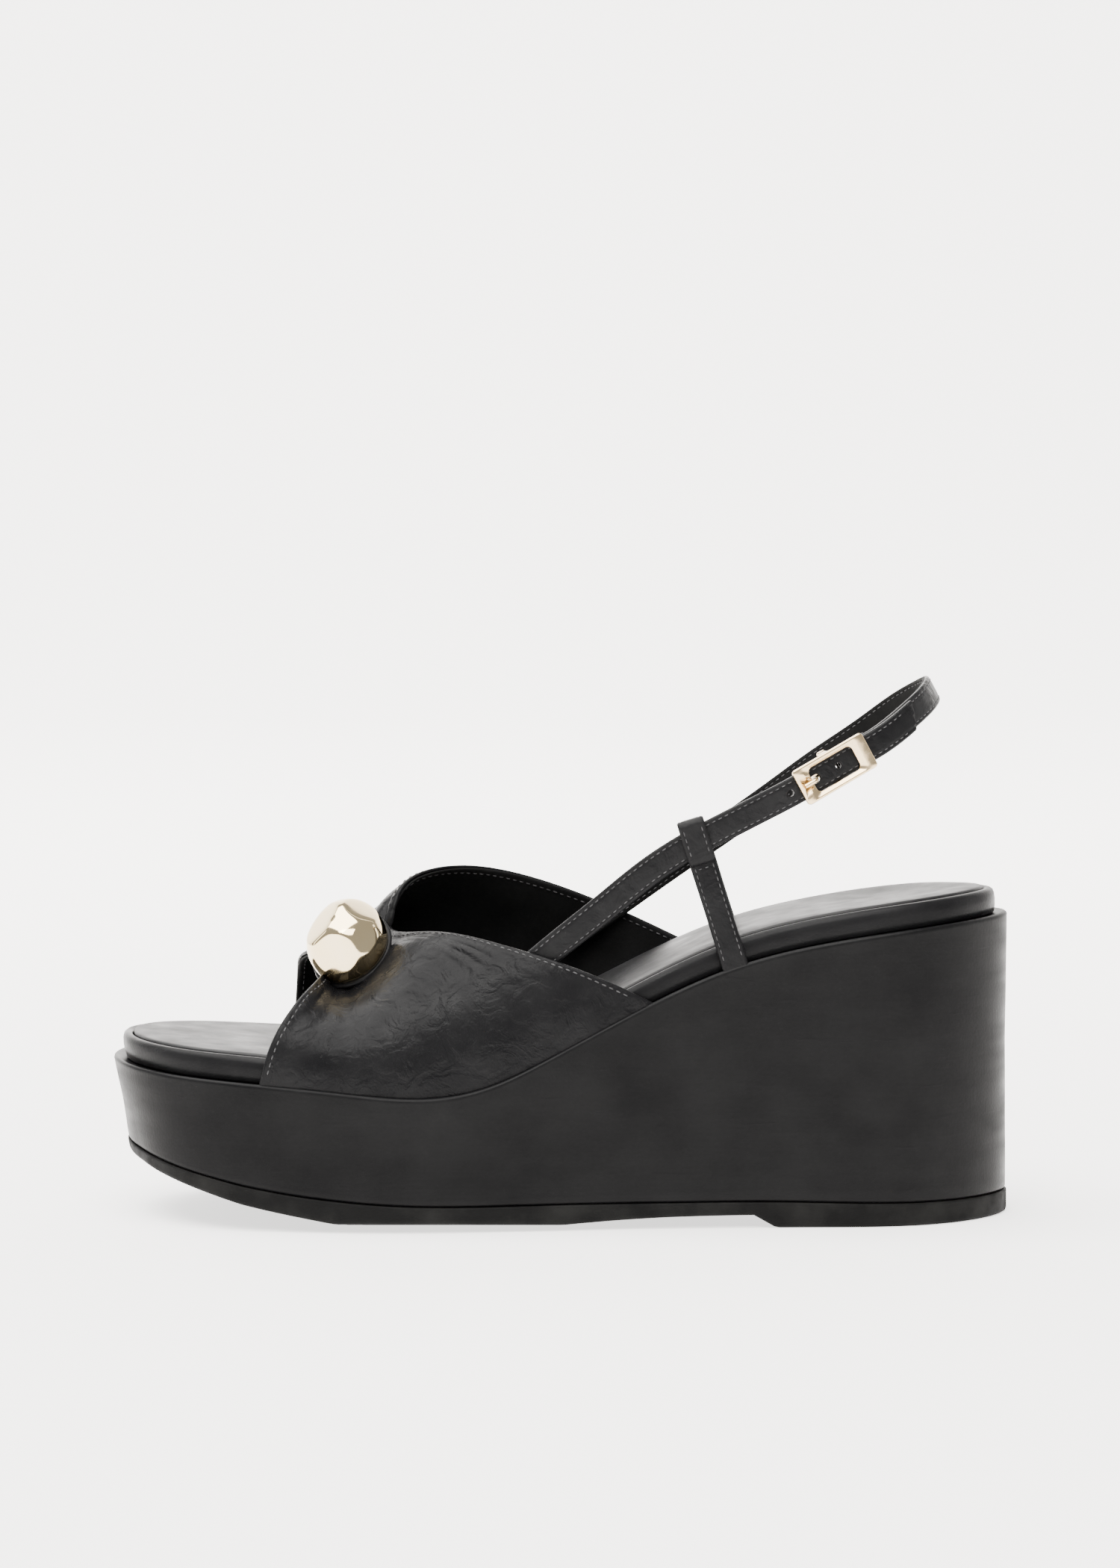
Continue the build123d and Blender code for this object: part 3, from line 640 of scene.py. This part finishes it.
def edge_row(grid, normals, from_front, inset, offset):
    """Line on the sheet at a distance in from its front or back edge, with the normals there."""
    path, away = [], []
    for j in range(grid.shape[1]):
        line = grid[:, j] if from_front else grid[::-1, j]
        normal = normals[:, j] if from_front else normals[::-1, j]
        travelled = chords(line)
        if travelled[-1] < inset * 2:
            continue
        path.append([np.interp(inset, travelled, line[:, k]) for k in range(3)])
        away.append([np.interp(inset, travelled, normal[:, k]) for k in range(3)])
    path, away = np.array(path), unit(np.array(away))
    return path + away * offset, away


def make_vamp(name, ribs, side):
    """Outer leather, lining and edge stitching of one vamp half."""
    grid = vamp_surface(ribs)
    normals = surface_normals(grid, side)
    grid = grid + normals * gathers(grid, side)[:, :, None]
    normals = surface_normals(grid, side)
    points, faces = sheet(grid, normals, 0.02, 1.0)
    make(f"vamp_{name}_leather", points, faces, UPPER, "sandal", [f"vamp_{name}_outer"])
    points, faces = sheet(grid, normals, -0.8, 0.0)
    make(f"vamp_{name}_inside", points, faces, LINING, "sandal", [f"vamp_{name}_lining"])
    rows = [edge_row(grid, normals, front, 1.7, offset) for front in (True, False) for offset in (1.0, -0.8)]
    trimmed = []
    for k, (path, away) in enumerate(rows):
        away = -away if k % 2 else away
        keep = slice(int(len(path) * 0.07), int(len(path) * 0.93))
        trimmed.append((path[keep], away[keep]))
    stitches(f"vamp_{name}_stitches", trimmed, "sandal")


# ---- straps ----

STRAP_POINTS = np.array(
    NEAR_FRONT + [NEAR_PIVOT]
    + [tuple(BUCKLE_AT + BUCKLE_RUN * s) for s in (-14, -7, 0, 7, 14)]
    + HEEL_ROUND + FAR_BACK + [FAR_PIVOT] + FAR_FRONT, float
)
_knots = chords(STRAP_POINTS)
STRAP_FINE = cubic(_knots, STRAP_POINTS, np.linspace(0, _knots[-1], 4000))
STRAP_WAY = chords(STRAP_FINE)


def along(point):
    """Distance along the strap line of the place nearest to a point."""
    return STRAP_WAY[np.argmin(np.linalg.norm(STRAP_FINE - np.array(point), axis=1))]


def strap_at(s):
    """Point on the strap line at distance s."""
    return np.array([np.interp(s, STRAP_WAY, STRAP_FINE[:, k]) for k in range(3)])


def strap_frame(s):
    """Point, run, outward and up directions of the band at distance s."""
    run = unit(strap_at(min(s + 0.4, STRAP_WAY[-1])) - strap_at(max(s - 0.4, 0)))
    flat = unit(np.cross(run, [0, 0, 1]))
    rise = unit(np.cross(flat, run))
    tip = math.radians(HEEL_LEAN) * abs(run[1]) ** 1.5
    out = flat * math.cos(tip) + rise * math.sin(tip)
    up = rise * math.cos(tip) - flat * math.sin(tip)
    return strap_at(s), run, out, up


S_NEAR, S_FAR, S_BAR, S_END = along(NEAR_PIVOT), along(FAR_PIVOT), along(BUCKLE_AT), STRAP_WAY[-1]


STRAP_CROWN = 0.12
STITCH_IN = 1.15                # stitch rows, in from the edges of a strap
CHANNEL_DEPTH, CHANNEL_WIDE = 0.13, 0.32
FINE_STITCH = dict(pitch=1.9, length=1.35, radius=0.16)
# Layers of a strap: end of the node names, offsets from the strap surface, finish and slot.
STRAP_LAYERS = (
    ("outer", 0.02, STRAP_OUTER, STRAP, "upper_leather"),
    ("lining", -STRAP_LINING, 0.0, LINING, "lining_leather"),
)


def strap_section(low, high):
    """Loop (across, out) of a strap layer: softened corners, and a shallow channel for each stitch row."""
    half, soft = STRAP_WIDTH / 2, min(0.45, (high - low) * 0.45)
    sign = 1 if high > 0 else -1
    face, back = (high, low) if sign > 0 else (low, high)
    across = np.linspace(-1, 1, 25) * (half - 0.1)
    edge = half - np.abs(across)
    level = face - sign * soft * (1 - np.clip(edge / 0.55, 0, 1)) ** 2
    level = level + sign * STRAP_CROWN * (1 - (across / half) ** 2)
    level = level - sign * CHANNEL_DEPTH * np.exp(-(((edge - STITCH_IN) / CHANNEL_WIDE) ** 2))
    loop = [(a, b) for a, b in zip(across, level)]
    shoulder = face - sign * soft * 1.3
    loop += [(half, shoulder), (half, back), (0, back), (-half, back), (-half, shoulder)]
    return np.array(loop)


def strap_loops(s0, s1, section, lift=lambda s: 0.0, step=1.1):
    """Sections of a band along the strap line."""
    loops = []
    for s in np.linspace(s0, s1, max(2, int(abs(s1 - s0) / step) + 1)):
        at, _, out, up = strap_frame(s)
        ruck = 0.05 * math.sin(s * 1.9) * math.sin(s * 0.37 + 1.1)
        loops.append(at + up * section[:, :1] + out * (section[:, 1:] + lift(s) + ruck))
    return loops


def hole_lift(s):
    """The hole strap climbs onto the heel strap before the buckle."""
    return TAIL_LIFT * float(smooth((s - S_BAR + 26) / 17))


def strap_stitches(name, s0, s1, faces_out, lift=lambda s: 0.0):
    """Two rows of stitches near the edges of a strap."""
    paths = []
    for side in (-1, 1):
        path, away = [], []
        for s in np.linspace(s0, s1, int(abs(s1 - s0) / 0.7)):
            at, _, out, up = strap_frame(s)
            offset = STRAP_OUTER - 0.04 if faces_out else -STRAP_LINING + 0.04
            path.append(at + up * side * (STRAP_WIDTH / 2 - STITCH_IN) + out * (offset + lift(s)))
            away.append(out if faces_out else -out)
        paths.append((np.array(path), np.array(away)))
    return stitches(name, paths, None, **FINE_STITCH)


def cylinder(centre, axis, radius, length, count=28):
    """Plain cutter."""
    axis = unit(axis)
    side = unit(np.cross(axis, [0.3, 0.5, 0.8]))
    up = np.cross(axis, side)
    turns = np.linspace(0, 2 * math.pi, count, endpoint=False)
    ringed = [side * math.cos(t) * radius + up * math.sin(t) * radius for t in turns]
    loops = [np.array([centre + axis * k * length / 2 + r for r in ringed]) for k in (-1, 1)]
    points, faces = loft(loops)
    return make("cutter", points, faces, STEEL)


def block(centre, axes, sizes):
    """Plain box cutter along three directions."""
    a, b, c = (unit(v) * s / 2 for v, s in zip(axes, sizes))
    corners = ((-1, -1), (1, -1), (1, 1), (-1, 1))
    loops = [np.array([centre + c * k + a * i + b * j for i, j in corners]) for k in (-1, 1)]
    points, faces = loft(loops)
    return make("cutter", points, faces, STEEL)


def blend_strap(obj):
    """Bakes the strap's placement into its mesh."""
    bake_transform(obj)


def hole_cutters(reach):
    """Cutters for the size holes; the prong has drawn its own hole long, to reach toward the bar."""
    cutters = []
    for i in (-1, 0, 1, 2):
        at, run, out, _ = strap_frame(S_BAR + PRONG_HOLE + i * HOLE_PITCH)
        if i:
            cutters.append(cylinder(at, out, HOLE / 2, 16))
        else:
            cutters += [cylinder(at + run * a, out, 1.2, 16) for a in np.linspace(-1.1, reach, 4)]
    return cutters


def make_hole_strap():
    """Outer side strap from the vamp, through the keeper and the buckle, to its upright cut tail."""
    at, run, _, _ = strap_frame(S_BAR + TAIL_END)
    level = unit([run[0], run[1], 0])
    names = ("outer_side_strap", "outer_side_strap_lining")
    for name, (layer, low, high, finish, slot) in zip(names, STRAP_LAYERS):
        nodes = [f"front_strap_lateral_{layer}", f"hole_strap_{layer}"]
        section = strap_section(low, high)
        points, faces = loft(strap_loops(0, S_BAR + TAIL_END + 5, section, hole_lift))
        strap = make(name, points, faces, finish, None, nodes)
        tail = block(at + level * 10, (level, [0, 0, 1], np.cross(level, [0, 0, 1])), (20, 40, 40))
        cut(strap, [tail] + hole_cutters(0.4 if high > 0 else 2.0))
        blend_strap(strap)
    end = S_BAR + TAIL_END - 2.6
    blend_strap(strap_stitches("outer_side_strap_stitches", 5, end, True, hole_lift))
    blend_strap(strap_stitches("outer_side_strap_back_stitches", 22, end, False, hole_lift))


def make_heel_strap():
    """Strap from the buckle bar round behind the heel and along the inner side to the vamp."""
    starts = (("heel_strap", S_BAR + 4), ("heel_strap_lining_layer", S_BAR + 3))
    for (name, s0), (layer, low, high, finish, slot) in zip(starts, STRAP_LAYERS):
        nodes = [f"heel_strap_{layer}", f"front_strap_medial_{layer}"]
        points, faces = loft(strap_loops(s0, S_END, strap_section(low, high)))
        strap = make(name, points, faces, finish, None, nodes)
        blend_strap(strap)
    blend_strap(strap_stitches("heel_strap_stitches", S_BAR + 5, S_END - 5, True))
    blend_strap(strap_stitches("heel_strap_back_stitches", S_BAR + 14, S_END - 5, False))


# ---- buckle ----

BUCKLE_O, BUCKLE_A, BUCKLE_C, BUCKLE_B = strap_frame(S_BAR)
BUCKLE_AXES = (BUCKLE_A, BUCKLE_B, BUCKLE_C)


def buckle_point(a, b, c):
    """Point from along, across (up) and outward distances at the buckle."""
    return BUCKLE_O + BUCKLE_A * a + BUCKLE_B * b + BUCKLE_C * c


def strip_sweep(line, width, thick, frame_of, count=9):
    """Leather strip with softened edges, swept along a line of (a, c) pairs with its width across."""
    line = np.array(line, float)
    run = unit(np.gradient(line, axis=0))
    side = np.stack([-run[:, 1], run[:, 0]], 1)
    half = width / 2
    across = np.linspace(-half, half, count)
    edge = half - np.abs(across)
    full = thick / 2 * (1 - 0.55 * (1 - np.clip(edge / 0.6, 0, 1)) ** 2)
    section = [(b, t) for b, t in zip(across, full)] + [(b, -t) for b, t in zip(across[::-1], full[::-1])]
    loops = []
    for (a, c), (na, nc) in zip(line, side):
        loops.append(np.array([frame_of(a + na * t, b, c + nc * t) for b, t in section]))
    return loft(loops)


def make_strap_fold():
    """End of the heel strap, turned round the bar and stitched back on its inside."""
    radius = BAR_RADIUS + 0.05 + STRAP_OUTER / 2
    line = [(4.2, 0.5), (2, 0.5), (0, 0.5)]
    turns = np.linspace(0.2, math.pi - 0.2, 12)
    line += [(-radius * math.sin(t), -BAR_SINK + radius * math.cos(t)) for t in turns]
    line += [(0, -BAR_SINK - radius), (1.6, -2.3), (3.4, -1.75), (5.2, -1.45), (8, -1.43), (13, -1.43)]
    points, faces = strip_sweep(line, STRAP_WIDTH, STRAP_OUTER, buckle_point)
    fold = make("heel_strap_fold_end", points, faces, STRAP, "sling")
    slot = block(buckle_point(-0.3, 0, -1), BUCKLE_AXES, (5.4, PRONG + 0.8, 8))
    cut(fold, [slot])
    paths = []
    for side in (-1, 1):
        path = np.array([buckle_point(a, side * 2.4, -1.94) for a in np.linspace(5.4, 12.6, 12)])
        paths.append((path, np.repeat([-BUCKLE_C], 12, axis=0)))
    stitches("fold_stitches", paths, "sling", **FINE_STITCH)


def rounded(long, wide, radius, c, corner=8):
    """Rounded rectangle in the buckle plane at height c."""
    loop = []
    for k, (i, j) in enumerate(((1, 1), (-1, 1), (-1, -1), (1, -1))):
        for t in np.linspace(0, math.pi / 2, corner):
            turn = k * math.pi / 2 + t
            a = i * (long / 2 - radius) + radius * math.cos(turn)
            b = j * (wide / 2 - radius) + radius * math.sin(turn)
            loop.append(buckle_point(a, b, c))
    return np.array(loop)


def make_buckle():
    """Plated window frame: flat bands at the ends, scooped toward the window, thin long sides."""
    long, wide = BUCKLE_LENGTH, BUCKLE_WIDTH
    w_long, w_wide = BUCKLE_WINDOW
    low, top = BUCKLE_LOW, BUCKLE_LOW + BUCKLE_PLATE
    rings = [
        (long - 0.4, wide - 0.4, 0.8, low), (long - 0.05, wide - 0.05, 0.95, low + 0.15),
        (long, wide, 1.0, low + 0.4), (long, wide, 1.0, top - 0.35),
        (long - 0.12, wide - 0.12, 0.95, top - 0.12), (long - 0.5, wide - 0.5, 0.8, top),
        (w_long + 3.4, w_wide + 1.9, 1.1, top), (w_long + 3.0, w_wide + 1.7, 1.2, top - 0.06),
        (w_long + 1.6, w_wide + 1.0, 1.4, top - 0.42), (w_long + 0.4, w_wide + 0.3, 1.5, top - 0.72),
        (w_long, w_wide, 1.4, top - 0.85), (w_long, w_wide, 1.4, low + 0.15),
        (w_long + 0.3, w_wide + 0.3, 1.5, low),
    ]
    points, faces = loft([rounded(*size) for size in rings], ring=True)
    plate = make("buckle_plate", points, faces, BUCKLE_GOLD, "buckle", ["buckle_frame"])
    notch = block(buckle_point(-long / 2 + 2.9, 0, top), BUCKLE_AXES, (3.2, PRONG + 0.8, 1.1))
    cut(plate, [notch])
    foot = -BAR_SINK - BAR_RADIUS - 0.5
    for side, name in ((-1, "lower"), (1, "upper")):
        centre = side * ((BUCKLE_WIDTH + STRAP_WIDTH + 0.6) / 4 - 0.1)
        thick = (BUCKLE_WIDTH - STRAP_WIDTH - 0.6) / 2
        loops = []
        levels = ((foot, 0.55), (foot + 0.5, 0.9), (foot + 1.2, 1.0), (low - 0.6, 1.0), (low + 0.3, 1.05))
        for c, slim in levels:
            loop = []
            for t in np.linspace(0, 2 * math.pi, 20, endpoint=False):
                a, b = LUG_HALF * slim * math.cos(t), thick / 2 * math.sin(t)
                a = math.copysign(abs(a) ** 0.7 * LUG_HALF**0.3, a)
                b = math.copysign(abs(b) ** 0.6 * (thick / 2) ** 0.4, b)
                loop.append(buckle_point(a, centre + b, c))
            loops.append(np.array(loop))
        points, faces = loft(loops)
        make(f"buckle_lug_{name}", points, faces, BUCKLE_GOLD, "buckle")


# ---- keepers ----


def make_keeper(name, foot, crown, node, side):
    """Leather loop round the strap, sewn to itself and lasted under the footbed."""
    foot, crown = np.array(foot, float), np.array(crown, float)
    sway = crown[1] - foot[1]
    rise = crown - foot - np.array([0, sway, 0])
    reach = np.linalg.norm(rise)
    up = unit(rise)
    out = np.array([0.0, 1.0, 0.0])
    width_dir = np.cross(out, up)

    def place(p, b, q):
        return foot + out * p + width_dir * b + up * q

    wide, tall = KEEPER_INSIDE
    t = KEEPER_LEATHER
    half_w, half_t, r = wide / 2 + t / 2, tall / 2 + t / 2, 1.35
    line = []
    for i, j, first in ((1, 1, 0), (-1, 1, 1), (-1, -1, 2), (1, -1, 3)):
        for angle in np.linspace(first * math.pi / 2, (first + 1) * math.pi / 2, 7):
            p = sway + i * (half_w - r) + r * math.cos(angle)
            line.append((p, reach + j * (half_t - r) + r * math.sin(angle)))
    line = np.array(line)
    following, previous = np.roll(line, -1, 0), np.roll(line, 1, 0)
    run = unit(following - previous)
    normal = np.stack([run[:, 1], -run[:, 0]], 1)
    half = KEEPER_WIDTH / 2
    across = np.linspace(-half, half, 15)
    full = t / 2 * (1 - 0.6 * (1 - np.clip((half - np.abs(across)) / 0.6, 0, 1)) ** 2)
    groove = 0.1 * np.exp(-(((half - np.abs(across)) - 1.1) / 0.3) ** 2)
    section = [(b, h - g) for b, h, g in zip(across, full, groove)]
    section += [(b, -h) for b, h in zip(across[::-1], full[::-1])]
    loops = []
    for (p, q), (n0, n1) in zip(line, normal):
        loops.append(np.array([place(p + n0 * h, b, q + n1 * h) for b, h in section]))
    points, faces = loft(loops, ring=True)
    top = reach - tall / 2 - t / 2
    stem = []
    for share in np.linspace(0, 1, 26):
        q = -3.5 + (top + 0.6 + 3.5) * share
        middle = sway * np.clip(q / top, 0, 1) + side * 0.35 * math.sin(math.pi * share)
        pinch = 1 - 0.035 * math.sin(math.pi * share)
        loop = [(b * pinch, h * 1.9 - g) for b, h, g in zip(across, full, groove)]
        loop += [(b * pinch, -h * 1.9 + g) for b, h, g in zip(across[::-1], full[::-1], groove[::-1])]
        stem.append(np.array([place(middle + h, b, q) for b, h in loop]))
    more, extra = loft(stem)
    faces += [tuple(k + len(points) for k in face) for face in extra]
    points = np.concatenate([points, more])
    make(name, points, faces, STRAP, "sandal", [node])
    paths = []
    for face in (-1, 1):
        rows = []
        for edge in (-1, 1):
            row_at = edge * (half - STITCH_IN)
            qs = np.linspace(1.5, top - 0.5, 40)
            middle = sway * np.clip(qs / top, 0, 1) + side * 0.35 * np.sin(math.pi * (qs + 3.5) / (top + 4.1))
            rows.append([place(m + face * 1.12, row_at, q) for m, q in zip(middle, qs)])
            level = sway + face * (half_w + t / 2 - 0.03)
            heights = np.linspace(reach - half_t + 1.4, reach + half_t - 1.4, 16)
            rows.append([place(level, row_at, q) for q in heights])
        bases = np.linspace(-half + 0.8, half - 0.8, 12)
        rows.append([place(sway + face * 1.15, b, top - 1.6) for b in bases])
        paths += [(np.array(row), np.repeat([out * face], len(row), axis=0)) for row in rows]
    stitches(f"{name}_stitches", paths, "sandal", pitch=1.9, length=1.3, radius=0.16)


# ---- ornament ----

GEM_X = unit(np.cross([0, 0, 1], GEM_AXIS))
GEM_Y = np.cross(GEM_AXIS, GEM_X)
# Flats of the pebble as (right, up, out) directions, with how far each lies from its heart.
GEM_FLATS = [
    ((-0.52, 0.04, 0.85), 8.5), ((0.50, 0.52, 0.69), 9.5),
    ((0.16, -0.78, 0.60), 9.3), ((0.86, -0.20, 0.47), 9.9),
]

RIDGE_SHARPNESS = 24.0          # higher makes the ridges between the flats crisper


def gem_place(x, y, z):
    """Point from right, up and outward distances over the vamp leather under the ornament."""
    return GEM_SEAT + GEM_X * x + GEM_Y * y + GEM_AXIS * z


def make_ornament():
    """Cast pebble: a dome with broad flats that run softly into each other."""
    turns = np.linspace(0, 2 * math.pi, 128, endpoint=False)
    profile = [(0.955, 0.0), (0.985, 0.03), (0.998, 0.12), (1.0, 0.28)]
    profile += [(math.cos(t) ** 0.92, 0.28 + 0.72 * math.sin(t)) for t in np.linspace(0.05, 1.5, 46)]
    heart = np.array([0, 0, 0.28 * GEM_HEIGHT])
    loops = []
    for r, h in profile:
        loop = []
        for turn in turns:
            x, y = r * GEM_RADIUS * math.cos(turn), r * GEM_RADIUS * GEM_STRETCH * math.sin(turn)
            p = np.array([x, y, h * GEM_HEIGHT])
            q = p - heart
            shrink = [1.0]
            for direction, reach in GEM_FLATS:
                facing = float(unit(direction) @ q)
                shrink.append(reach / facing if facing > 0.1 else 9.0)
            shrink = np.array(shrink)
            share = -np.log(np.exp(-RIDGE_SHARPNESS * np.minimum(shrink, 3)).sum()) / RIDGE_SHARPNESS
            q = q * min(1.0, share + 0.03)
            p = heart + q
            loop.append(gem_place(p[0], p[1], p[2] + GEM_STANDOFF + GEM_BACKING))
        loops.append(np.array(loop))
    points, faces = loft(loops)
    make("pebble", points, faces, GOLD, "sandal", ["ornament"])


def make_backing():
    """Leather disc under the pebble, thicker than the leather and softly dished at its edge."""
    turns = np.linspace(0, 2 * math.pi, 96, endpoint=False)
    rings = [(0.2, 0.1), (0.8, 0.0), (0.96, -0.1), (1.02, 0.25), (1.04, 0.75)]
    rings += [(1.03, 1.25), (1.0, 1.5), (0.96, 1.6), (0.6, 1.6), (0.2, 1.6)]
    loops = []
    for r, h in rings:
        wave = 0.22 * np.sin(3 * turns + 0.6) * (r > 0.9)
        x = (GEM_RADIUS + 0.15) * r * np.cos(turns)
        y = (GEM_RADIUS * GEM_STRETCH + 0.15) * r * np.sin(turns)
        z = GEM_STANDOFF + h + wave * (h < 1.2)
        loops.append(np.array([gem_place(*p) for p in zip(x, y, z)]))
    points, faces = loft(loops)
    make("ornament_rim_leather", points, faces, STRAP, "sandal", ["ornament_backing"])


def make_knot():
    """Vamp leather bunched up round the post, from the waist to the disc under the pebble."""
    turns = np.linspace(0, 2 * math.pi, 160, endpoint=False)
    loops = []
    for share in np.linspace(0, 1, 20):
        waist = 7.6 - 1.5 * math.sin(math.pi * share) + 1.2 * share
        pleat = 0.55 * np.abs(np.sin(5.5 * turns + 0.7 * share)) + 0.25 * np.sin(17 * turns + 2 * share)
        r = waist + pleat * (1 - 0.4 * share)
        z = -1.5 + (GEM_STANDOFF + 1.6) * share
        x, y = r * np.cos(turns), r * GEM_STRETCH * np.sin(turns)
        loops.append(np.array([gem_place(a, b, z) for a, b in zip(x, y)]))
    points, faces = loft(loops)
    make("vamp_gather_knot", points, faces, UPPER, "sandal")


# ---- stage ----


def make_stage():
    """Pale floor that curves up behind the shoe, soft lights and the camera."""
    f = Finish("studio_paper", (0.88, 0.87, 0.855), 0.95)
    f.tint(f.span(f.noise(3, 3), 0.3, 0.7, 0, 1), (0.90, 0.885, 0.87), (0.89, 0.875, 0.86))
    f.bump(f.noise(900, 3), 0.05, 0.2)
    f.shader.inputs["Emission Color"].default_value = (0.97, 0.955, 0.935, 1)
    f.shader.inputs["Emission Strength"].default_value = 1.7
    bend = [(-4.5, 0.0), (2.2, 0.0)]
    bend += [(2.2 + 1.2 * math.sin(t), 1.2 - 1.2 * math.cos(t)) for t in np.linspace(0.1, math.pi / 2, 14)]
    bend += [(3.4, 4.0)]
    points, faces = [], []
    for y, z in bend:
        points += [(-6.0 / MM, y / MM, z / MM), (6.0 / MM, y / MM, z / MM)]
    faces = grid_faces(len(bend), 2)
    floor = make("floor", points, faces, f.material)

    world = bpy.data.worlds.new("studio")
    world.use_nodes = True
    background = world.node_tree.nodes["Background"]
    background.inputs["Color"].default_value = (0.96, 0.955, 0.945, 1)
    background.inputs["Strength"].default_value = 0.5
    bpy.context.scene.world = world

    for name, spot, aim, size, power in (
        ("key", (-0.6, -0.3, 2.3), (0, 0.1, 0), (3.0, 2.2), 200),
        ("backdrop", (0, 0.9, 1.9), (0, 3.2, 0.7), (3.2, 1.2), 150),
        ("foreground", (0, -2.6, 2.4), (0, -1.0, 0), (3.0, 1.0), 80),
        ("right_side", (1.4, 0.15, 0.45), (0, 0, 0.08), (0.35, 1.0), 3),
        ("left_side", (-1.4, 0.1, 0.45), (0, 0, 0.06), (0.35, 1.0), 3.5),
    ):
        lamp = bpy.data.lights.new(name, "AREA")
        lamp.shape = "RECTANGLE"
        lamp.size, lamp.size_y = size
        lamp.energy = power
        lamp.color = (1.0, 0.98, 0.955)
        holder = bpy.data.objects.new(name, lamp)
        holder.location = spot
        holder.rotation_euler = (Vector(aim) - Vector(spot)).to_track_quat("-Z", "Y").to_euler()
        bpy.context.scene.collection.objects.link(holder)

    lens = bpy.data.cameras.new("camera")
    lens.sensor_fit = "VERTICAL"
    lens.sensor_height = 36
    lens.lens = 116.8
    camera = bpy.data.objects.new("camera", lens)
    camera.location = (0.0, -1.3864, 0.2171)
    camera.rotation_euler = (math.radians(90 - 4.133), 0, 0)
    bpy.context.scene.collection.objects.link(camera)
    bpy.context.scene.camera = camera


make_stage()
make_outsole()
make_cover()
make_rand()
make_pad()
make_vamp("lateral", OUTER_RIBS, -1)
make_vamp("medial", INNER_RIBS, 1)
make_hole_strap()
make_heel_strap()
make_strap_fold()
make_buckle()
make_keeper("keeper_outer_side", KEEPER_FEET[0], NEAR_FRONT[-1], "keeper_lateral", -1)
make_keeper("keeper_inner_side", KEEPER_FEET[1], FAR_FRONT[0], "keeper_medial", 1)
make_ornament()
make_backing()
make_knot()
